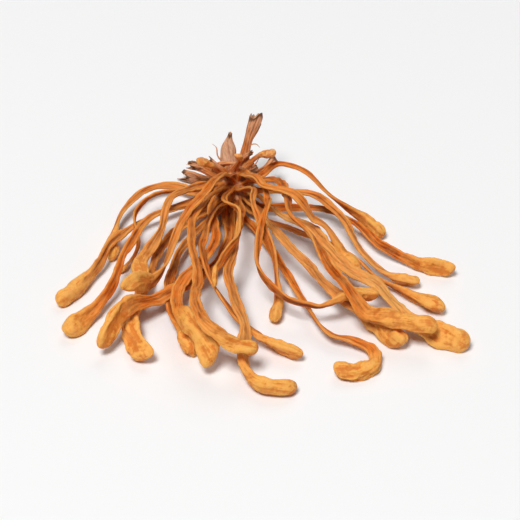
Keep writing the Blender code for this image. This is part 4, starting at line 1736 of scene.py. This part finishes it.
@dataclass(frozen=True)
class DriedFlesh:
    """A finish of dried flesh. Colours are linear."""

    slot: str
    # furrow: the colour of hollows, partly their own and partly painted shade; edge: that of edges and
    # ridges, partly their own and partly a painted highlight.
    furrow: tuple = (0.19, 0.022, 0.002)
    face: tuple = (0.84, 0.192, 0.016)
    edge: tuple = (0.98, 0.490, 0.125)
    head: tuple = (0.98, 0.490, 0.105)
    pale: tuple = (0.95, 0.48, 0.135)
    spotted: tuple = (0.77, 0.208, 0.026)
    brown: tuple = (0.16, 0.030, 0.006)
    relief: float = 0.0002  # height of the finest relief, in metres
    depth: float = 0.0008  # how far light goes in, in metres

    def material(self, flesh: bpy.types.NodeTree) -> bpy.types.Material:
        """The finish as a material round the shared flesh group.

        Args:
            flesh: the group that works out colour, roughness and height.

        Returns:
            The material, named for its slot.
        """
        material, board = new_material(f"{self.slot}_finish")
        look = board.node("ShaderNodeGroup", node_tree=flesh)
        for label in COLOURS:
            board.put(getattr(self, label.lower()), look.inputs[label])
        for label in MASKS:
            mask = board.node("ShaderNodeAttribute", attribute_name=label.lower())
            board.put(mask.outputs["Fac"], look.inputs[label])
        fibre = board.node("ShaderNodeAttribute", attribute_name="fibre")
        board.put(fibre.outputs["Vector"], look.inputs["Fibre"])
        board.put(board.node("ShaderNodeTexCoord").outputs["Object"], look.inputs["Place"])
        bump = board.node("ShaderNodeBump", {"Height": look.outputs["Height"], "Distance": self.relief})
        shader = board.node("ShaderNodeBsdfPrincipled", {
            "Base Color": look.outputs["Color"],
            "Roughness": look.outputs["Roughness"],
            "Normal": bump.outputs["Normal"],
            "Subsurface Weight": 0.22,
            "Subsurface Radius": (1.0, 0.34, 0.1),
            "Subsurface Scale": self.depth,
            "Specular IOR Level": 0.15,
            "Sheen Weight": 0.2,
            "Sheen Roughness": 0.4,
            "Sheen Tint": self.edge,
        })
        board.node("ShaderNodeOutputMaterial", {"Surface": shader.outputs[0]})
        return material


@dataclass(frozen=True)
class PaleFloor:
    """The plain pale floor, which curves up into a wall a long way from the clump."""

    colour: tuple = (0.92, 0.92, 0.92)
    level: float = 3.0  # radius of the level floor, in metres
    curve: float = 2.5  # radius of the curve
    sides: int = 96
    rings: int = 24

    def build(self) -> None:
        """A profile turned about the Z axis: level out to its radius, then a quarter circle up.
        """
        climb = np.linspace(0.0, 0.5 * math.pi, self.rings)
        reach = np.concatenate(((0.0,), self.level + self.curve * np.sin(climb)))[:, None]
        height = np.concatenate(((0.0,), self.curve * (1.0 - np.cos(climb))))[:, None]
        turn = angles_round(self.sides)
        points = np.stack((reach * np.cos(turn), reach * np.sin(turn), height + 0.0 * turn), axis=-1)
        corner = np.arange(self.rings * self.sides).reshape(self.rings, self.sides)
        after = np.roll(corner, -1, axis=1)
        faces = np.stack((corner, corner + self.sides, after + self.sides, after), axis=-1)
        mesh = bpy.data.meshes.new("floor")
        mesh.from_pydata(points.reshape(-1, 3).tolist(), [], faces.reshape(-1, 4).tolist())
        mesh.shade_smooth()
        material, board = new_material("pale_floor")
        matt = {"Base Color": self.colour, "Roughness": 0.9, "Specular IOR Level": 0.1}
        shader = board.node("ShaderNodeBsdfPrincipled", matt)
        board.node("ShaderNodeOutputMaterial", {"Surface": shader.outputs[0]})
        mesh.materials.append(material)
        floor = placed("floor", mesh)


# ---------------------------------------------------------------- studio


def spot_on_sphere(azimuth: float, elevation: float, distance: float) -> np.ndarray:
    """A place seen from the target: azimuth 0 is in front, on the -Y side.

    Args:
        azimuth: turn to the right of the front, in degrees.
        elevation: angle above the floor, in degrees.
        distance: how far it is.

    Returns:
        The place from the target.
    """
    turn, rise = math.radians(azimuth), math.radians(elevation)
    level = math.cos(rise)
    return distance * np.array((math.sin(turn) * level, -math.cos(turn) * level, math.sin(rise)))


def aim(obj: bpy.types.Object, place: np.ndarray, target: np.ndarray) -> None:
    """Puts an object somewhere, its -Z axis towards the target and +Y upwards.

    Args:
        obj: the light or camera.
        place: where it goes.
        target: what it faces.
    """
    back = (place - target) / np.linalg.norm(place - target)
    right = np.cross((0.0, 0.0, 1.0), back)
    right /= np.linalg.norm(right)
    turn = np.eye(4)
    turn[:3] = np.column_stack((right, np.cross(back, right), back, place))
    obj.matrix_world = turn.T.tolist()


@dataclass(frozen=True)
class Softbox:
    """A square studio light that faces the clump."""

    name: str
    azimuth: float
    elevation: float
    distance: float
    size: float
    power: float

    def build(self) -> None:
        """Makes the light and puts it in place."""
        light = bpy.data.lights.new(self.name, "AREA")
        light.size = self.size
        light.energy = self.power
        lamp = placed(self.name, light)
        aim(lamp, spot_on_sphere(self.azimuth, self.elevation, self.distance), np.zeros(3))


@dataclass(frozen=True)
class Viewpoint:
    """The camera, at the viewing angle of the picture that the clump follows."""

    azimuth: float = 0.0
    elevation: float = 40.0
    distance: float = 0.55
    frame_width: float = 0.142  # what the picture takes in at the target, in metres
    target: tuple = (0.0, -0.001, 0.007)
    nearest: float = 0.01  # how near it still sees, in metres

    def build(self) -> None:
        """Makes the scene's camera and puts it in place."""
        data = bpy.data.cameras.new("camera")
        data.lens = data.sensor_width * self.distance / self.frame_width
        data.clip_start = self.nearest
        camera = placed("camera", data)
        target = np.array(self.target)
        aim(camera, target + spot_on_sphere(self.azimuth, self.elevation, self.distance), target)
        bpy.context.scene.camera = camera


@dataclass(frozen=True)
class Studio:
    """Floor, soft lights, pale surroundings and camera."""

    floor: PaleFloor = PaleFloor()
    lights: tuple[Softbox, ...] = (
        Softbox("key_light", -28.0, 66.0, 2.4, 0.80, 49.0),
        Softbox("fill_light", 60.0, 35.0, 2.4, 1.70, 1.8),
        Softbox("back_light", 165.0, 50.0, 2.4, 1.35, 9.5),
    )
    surroundings: float = 0.11
    view: Viewpoint = Viewpoint()

    def build(self) -> None:
        """Builds the studio round the clump."""
        self.floor.build()
        for softbox in self.lights:
            softbox.build()
        self.view.build()
        world = bpy.data.worlds.new("pale_surroundings")
        world.use_nodes = True
        board = NodeBoard(world.node_tree)
        sky = board.node("ShaderNodeBackground", {"Color": (1.0, 1.0, 1.0), "Strength": self.surroundings})
        board.node("ShaderNodeOutputWorld", {"Surface": sky.outputs[0]})
        scene = bpy.context.scene
        scene.world = world
        scene.view_settings.view_transform = "Standard"


# ---------------------------------------------------------------- the clump


@dataclass
class Clump:
    """The whole grown piece: the base and its stems."""

    stems: tuple[Stem, ...]
    base: Base

    def laid(self) -> list[LaidStem]:
        """Lays the stems in their order, each risen over those laid before it.

        Returns:
            The stems on their final paths.
        """
        laid: list[LaidStem] = []
        for number, stem in enumerate(self.stems):
            fork = stem.fork()
            plan = np.vstack((RIB_START * fork, fork, stem.route))
            along = distance_along(plan)
            heights = stem.arch_height((along - along[1]) / (along[-1] - along[1]))
            heights[0] = 0.5 * (KNOT[2] + stem.layer.value[1])
            path = smooth_curve(np.column_stack((plan, heights)), STEP)
            fork_at = STEP * float(np.argmin(np.linalg.norm(path[:, :2] - fork, axis=1)))
            path = stem.kinked(path, fork_at)
            flat = LaidStem(stem, path, fork_at, number)
            path[:, 2] += self.rise_over(flat, laid)
            laid.append(flat)
        return laid

    @staticmethod
    def rise_over(flat: LaidStem, earlier: list[LaidStem]) -> np.ndarray:
        """How far each point has to rise to clear the floor and the stems laid before it.

        The height needed over each earlier point is that of an oval hump as wide and high as the
        two sections together. Each need spreads along the stem as a bell, exp(-(d/reach)^2), and
        the bells join in a smooth maximum: the sharpness-th root of the sum of their powers.

        Args:
            flat: the stem before it rises.
            earlier: the stems already laid.

        Returns:
            The rise at each point of its path.
        """
        along = distance_along(flat.path)
        needed = np.maximum(flat.reach[1] - flat.path[:, 2], 0.0)
        for other in earlier:
            apart = np.linalg.norm(flat.path[:, None, :2] - other.path[None, :, :2], axis=2)
            side = flat.reach[0][:, None] + other.reach[0][None, :] + AIR
            up = flat.reach[1][:, None] + other.reach[1][None, :] + AIR
            top = other.path[None, :, 2] + up * np.sqrt(np.clip(1.0 - (apart / side) ** 2, 0.0, 1.0))
            gap = np.where(apart < side, top - flat.path[:, None, 2], 0.0)
            needed = np.maximum(needed, gap.max(axis=1))
        needed *= eased((along - flat.fork_at) / LIFT_EASE)
        bells = needed * np.exp(-(((along[:, None] - along[None, :]) / LIFT_REACH) ** 2))
        peak = max(bells.max(), TINY)
        return peak * np.sum((bells / peak) ** LIFT_SHARPNESS, axis=1) ** (1.0 / LIFT_SHARPNESS)

    def build(self) -> None:
        """Builds every piece, dresses it and lets it stand for its solid."""
        flesh = flesh_group(fibre_group(), mottle_group())
        stem_finish = DriedFlesh("dried_stem").material(flesh)
        base_finish = DriedFlesh(
            "dried_base", furrow=(0.30, 0.058, 0.010), face=(0.78, 0.245, 0.052),
            edge=(0.92, 0.50, 0.20), pale=(0.90, 0.60, 0.39), brown=(0.105, 0.036, 0.015),
        ).material(flesh)
        laid = self.laid()
        self.place("dried_base", self.base.shells(laid), base_finish, "base", "dried_base")
        for flat in laid:
            name = flat.stem.name
            self.place(f"dried_{name}", [flat.shell()], stem_finish, name, "dried_stem")

    @staticmethod
    def place(name: str, shells: list[Shell], finish: bpy.types.Material, node: str, slot: str) -> None:
        """Makes one piece, which stands for a node and takes a slot's finish.

        Args:
            name: the piece's name.
            shells: its closed surfaces.
            finish: its material.
            node: the node that it stands for.
            slot: not used.
        """
        piece = new_piece(name, shells, finish)
        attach(piece, "root")
        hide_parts(node)
        log.info("%s: %d points, stands for %s", name, len(piece.data.vertices), node)


# ---------------------------------------------------------------- this clump's sizes

# In laying order: each stem passes over those before it.
STEMS = (
    Stem("stem_left_back", Layer.LOW, 176, ((-18, 1.5), (-26, -3), (-31, -11), (-33, -20), (-32, -27)),
         5.0, 0.4, 2.3, 1.1, Club(14, 4.8, 3.6, 0.30, 1.2), (10, -60), 0.4),
    Stem("stem_left_outer", Layer.LOW, 199,
         ((-18, -7), (-27, -14), (-34, -24), (-38, -33), (-43, -40), (-48, -46)),
         4.5, 0.5, 2.6, 1.2, Club(19, 5.0, 3.8, 0.34, 1.1), (-20, 70), 1.7),
    Stem("stem_left_broad", Layer.LOW, 221,
         ((-13, -14), (-19, -25), (-22, -37), (-25, -48), (-26, -58), (-22, -69)),
         4.0, 0.4, 3.0, 1.2, Club(26, 6.2, 3.9, 0.50, 0.8), (15, -30), 2.9, ClubSkin.SUNKEN),
    Stem("stem_left_round", Layer.LOW, 241,
         ((-9, -15), (-14.5, -24), (-17.5, -36), (-18, -47), (-15, -57), (-11, -67)),
         3.6, 0.4, 2.3, 1.2, Club(15, 6.2, 4.9, 0.30, 1.1), (0, 80), 4.2, ClubSkin.DIMPLED),
    Stem("stem_ribbon_left", Layer.LOW, 262,
         ((-1.5, -18), (-4, -29), (-10, -38), (-17, -45), (-25, -52), (-31, -59), (-35, -66)),
         4.2, 0.45, 3.6, 1.1, Club(21, 5.6, 3.5, 0.45, 1.4), (5, 55), 5.1, ClubSkin.SUNKEN),
    Stem("stem_curled", Layer.LOW, 283,
         ((6, -19), (12, -32), (17, -44), (21, -54), (26, -61), (32, -62.5), (37, -66),
          (37, -71.5), (32, -74.5), (26.5, -74)),
         4.0, 0.4, 2.5, 1.3, Club(19, 4.9, 4.0, 0.50, 0.8), (-15, 40), 0.9, ClubSkin.GRAINY),
    Stem("stem_right_low", Layer.LOW, 304,
         ((13, -13), (23, -20), (33, -28), (40, -37), (48, -43), (57, -50)),
         4.0, 0.4, 2.6, 1.2, Club(18, 5.2, 4.1, 0.26, 1.5), (10, 95), 2.2, ClubSkin.RIDGED),
    Stem("stem_right_outer", Layer.LOW, 326,
         ((15, -8), (25, -10), (34, -16), (42, -25), (51, -30), (61, -33)),
         5.0, 0.45, 2.2, 1.1, Club(18, 4.7, 3.5, 0.42, 0.9), (0, -70), 3.6, ClubSkin.GRAINY, 0.3),
    Stem("stem_left_thin", Layer.MID, 192, ((-13, -3), (-22, -7), (-27, -15), (-26, -24), (-30, -33)),
         8.0, 0.45, 1.6, 1.0, Club(8, 2.0, 1.4, 0.30, 2.4), (40, 130), 0.3),
    Stem("stem_left_arched", Layer.MID, 214,
         ((-14, -12), (-23, -21), (-29, -33), (-33, -45), (-38, -53), (-43, -60)),
         10.5, 0.35, 2.4, 1.2, Club(16, 5.3, 4.4, 0.30, 1.0), (-10, 60), 1.1, ClubSkin.SUNKEN, 0.5),
    Stem("stem_wrinkled", Layer.MID, 236,
         ((-6.5, -17), (-5.5, -27), (-8.5, -37), (-14, -44), (-15.5, -54), (-12, -63), (-5, -73)),
         9.5, 0.35, 2.8, 1.3, Club(22, 6.3, 4.6, 0.58, 0.7), (20, -40), 2.5, ClubSkin.RIDGED),
    Stem("stem_middle", Layer.MID, 257,
         ((-6, -20), (-9, -34), (-6.5, -46), (-1, -55), (5, -61), (11, -65), (18, -69)),
         11.0, 0.4, 2.2, 1.1, Club(19, 5.2, 3.8, 0.34, 1.7), (-20, 75), 3.3, ClubSkin.SUNKEN, 0.42),
    Stem("stem_bent_club", Layer.MID, 278,
         ((2.2, -21), (1.9, -30), (0.5, -39), (-0.5, -45), (1.2, -52), (4, -60), (4.4, -66),
          (4.5, -73), (9, -78.5), (17, -79)),
         12.0, 0.3, 2.6, 1.3, Club(28, 5.3, 4.3, 0.30, 0.9), (0, 50), 4.6),
    Stem("stem_right_front", Layer.MID, 299,
         ((8, -20), (13, -30), (21, -40), (29, -48), (37, -53), (46, -63)),
         11.0, 0.35, 2.5, 1.2, Club(20, 5.5, 4.1, 0.46, 0.8), (25, -45), 0.2, ClubSkin.DIMPLED),
    Stem("stem_ribbon_right", Layer.MID, 320,
         ((10.5, -13), (16, -21), (22, -26), (26.5, -34), (32.7, -41.2), (39.4, -44.2),
          (43.4, -50.2), (50, -58), (62, -65)),
         12.5, 0.25, 3.5, 1.1, Club(25, 6.5, 4.4, 0.34, 1.1), (30, -35), 5.7, ClubSkin.SUNKEN),
    Stem("stem_right_arched", Layer.MID, 342,
         ((15, -4), (24, -9), (31, -19), (36, -30), (44, -36), (51, -38)),
         11.0, 0.35, 2.1, 1.1, Club(14, 4.8, 3.8, 0.30, 1.4), (-30, 50), 1.4, ClubSkin.SUNKEN),
    Stem("stem_left_short", Layer.TOP, 216, ((-11, -11), (-17, -17), (-20, -26), (-25, -35), (-24, -42)),
         15.0, 0.35, 2.2, 1.1, Club(13, 4.4, 3.6, 0.32, 1.1), (-15, 45), 4.9),
    Stem("stem_dimpled", Layer.TOP, 240,
         ((-8.4, -18), (-11.5, -30), (-10.2, -40.6), (-8.8, -48), (-9.5, -57), (-8.1, -63.5),
          (-4.5, -69), (7, -71)),
         16.0, 0.3, 2.6, 1.3, Club(20, 5.6, 4.2, 0.30, 1.0), (-25, 35), 1.9, ClubSkin.DIMPLED),
    Stem("stem_thin", Layer.TOP, 264, ((-1, -17), (3, -26), (2, -36), (-3, -43), (-4, -51)),
         17.5, 0.45, 1.7, 1.0, Club(8, 2.1, 1.5, 0.30, 2.6), (0, 110), 3.9),
    Stem("stem_short", Layer.TOP, 287, ((5, -16), (6, -27), (11, -36), (13, -46), (12, -54)),
         19.0, 0.4, 2.1, 1.1, Club(13, 4.2, 3.6, 0.28, 1.3), (15, -60), 5.4, ClubSkin.SUNKEN),
    Stem("stem_kinked", Layer.TOP, 310,
         ((8.6, -16), (9.2, -24), (8.6, -29.5), (6.6, -36.5), (6.6, -42.5), (9.9, -48),
          (15.3, -52.4), (20.6, -54.3), (27, -53.8), (33, -51.5), (39, -50)),
         16.0, 0.2, 2.2, 1.1, Club(17, 4.6, 3.8, 0.48, 0.8), (-10, 80), 0.7, ClubSkin.GRAINY, 0.66),
    Stem("stem_long_club", Layer.TOP, 333,
         ((12, -12), (14, -21), (15.3, -29), (21.5, -36.5), (27.5, -47.5), (33.5, -55.5),
          (42.5, -58.8), (54, -60.2)),
         18.0, 0.3, 2.7, 1.2, Club(28, 5.2, 4.3, 0.32, 1.1), (20, -30), 2.7),
    Stem("stem_right_short", Layer.TOP, 357, ((13, -1), (21, -7), (28, -11), (37, -12), (43, -17)),
         16.0, 0.3, 2.0, 1.1, Club(14, 4.5, 3.7, 0.36, 1.0), (0, 70), 2.0, ClubSkin.RIDGED),
    Stem("stem_crown_right", Layer.CROWN, 300, ((6, -12), (9, -20), (18, -25), (26, -28), (34, -37)),
         20.0, 0.35, 2.5, 1.1, Club(16, 4.8, 3.8, 0.28, 1.5), (-20, 60), 5.0),
    Stem("stem_crown_left", Layer.CROWN, 248, ((-3, -12), (-6, -22), (-14, -31), (-19, -42), (-28, -52)),
         22.0, 0.3, 2.4, 1.2, Club(17, 5.3, 4.1, 0.44, 0.8), (10, -70), 3.0, ClubSkin.RIDGED),
)

# Old feet, torn where they stood.
FEET = (
    Foot(((0.5, 0.5, 6.0), (2.5, 3.5, 11.0), (4.0, 7.0, 16.5), (6.5, 10.5, 22.6)), 2.6, 1.3, 2.1),
    Foot(((-0.5, 1.0, 7.0), (-1.5, 4.5, 11.5), (-1.5, 6.5, 15.5), (-1.0, 7.5, 19.0)), 3.0, 2.3, 0.6,
         bleach=1.0),
    Foot(((-1.5, 0.5, 6.5), (-6.0, 2.0, 8.5), (-9.5, 3.0, 10.0), (-12.5, 3.2, 11.0)), 2.4, 1.4, 1.6),
    Foot(((-2.0, 1.5, 4.0), (-7.0, 5.5, 2.8), (-11.0, 8.5, 2.0), (-14.5, 10.5, 1.6)), 3.0, 1.8, 2.0),
    Foot(((1.0, 1.5, 4.0), (3.0, 6.0, 3.0), (4.0, 10.0, 2.2), (4.5, 14.0, 1.9)), 3.2, 2.1, 2.4),
    Foot(((1.5, 1.0, 5.5), (6.0, 3.5, 7.0), (9.5, 5.5, 8.0), (11.5, 8.5, 8.5)), 2.4, 1.3, 1.6),
)

# Stubs of stems that broke off at the knot, too thin for a solid of their own.
STUBS = (
    Foot(((-0.5, -1.0, 8.5), (-2.2, -1.5, 12.0), (-4.6, -1.2, 14.0), (-7.0, 0.4, 15.0)), 1.3, 0.7, 0.9),
    Foot(((0.3, -1.5, 8.5), (0.4, -3.0, 12.2), (-0.8, -5.0, 13.8), (-2.4, -6.8, 14.0)), 1.2, 0.6, 0.8),
    Foot(((1.0, -1.0, 8.5), (2.6, -2.6, 12.2), (4.4, -3.6, 13.6), (6.6, -3.4, 14.2)), 1.3, 0.7, 0.9),
    Foot(((0.0, 0.5, 8.5), (1.0, 1.6, 12.0), (2.8, 2.6, 14.0), (5.0, 3.0, 15.4)), 1.2, 0.6, 0.8),
)

# Small fruit bodies that stayed buds, with round tips.
BUDS = (
    Bud(((-1.0, -0.5, 8.0), (-4.0, -2.5, 13.0), (-6.0, -5.0, 17.0), (-9.0, -6.5, 19.5)), 1.9, 0.9, 1.5),
    Bud(((1.0, 0.0, 8.0), (4.0, 0.5, 13.0), (7.5, 0.5, 16.5), (10.5, -1.5, 18.5)), 1.8, 0.9, 1.6),
    Bud(((0.0, -1.0, 9.0), (0.5, -2.0, 14.0), (2.0, -4.5, 18.5), (1.5, -7.5, 22.0)), 1.7, 0.8, 1.3),
)

# An arch between two feet, then threads that peeled off the feet and the knot.
STRANDS = (
    Strand(((-7.0, 2.2, 8.4), (-6.0, 2.4, 10.8), (-3.8, 2.1, 12.3), (-1.2, 1.6, 12.8), (1.0, 2.0, 12.2),
            (2.2, 3.2, 10.4)), 0.75, 0.6, 0.85),
    Strand(((3.4, 6.0, 14.6), (5.0, 5.8, 16.2), (6.4, 6.3, 16.0), (7.4, 6.2, 14.9)), 0.34, 0.2, 0.07),
    Strand(((-8.6, 2.7, 9.6), (-10.0, 1.4, 11.6), (-12.2, 1.2, 12.4), (-13.6, 1.9, 12.0)),
           0.36, 0.22, 0.07),
    Strand(((2.0, -0.6, 9.4), (4.4, 0.2, 12.2), (6.2, 0.2, 13.6), (7.2, 1.4, 14.8)), 0.4, 0.24, 0.08),
    Strand(((3.2, 7.4, 3.4), (5.2, 8.6, 4.8), (6.9, 9.6, 4.6), (8.2, 10.8, 3.2)), 0.38, 0.22, 0.07),
    Strand(((-2.8, 4.0, 10.8), (-4.6, 4.6, 13.0), (-5.0, 5.6, 15.2), (-6.2, 6.2, 16.2)), 0.36, 0.2, 0.07),
    Strand(((-9.6, 7.0, 2.8), (-11.4, 6.6, 4.6), (-13.2, 7.2, 5.2), (-14.8, 7.0, 4.4)), 0.34, 0.2, 0.07),
)


def main() -> None:
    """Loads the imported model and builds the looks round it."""
    logging.basicConfig(level=logging.INFO, format="%(name)s: %(message)s")
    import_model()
    Clump(STEMS, Base(FEET, STUBS, BUDS, STRANDS)).build()
    Studio().build()


if __name__ == "__main__":
    main()
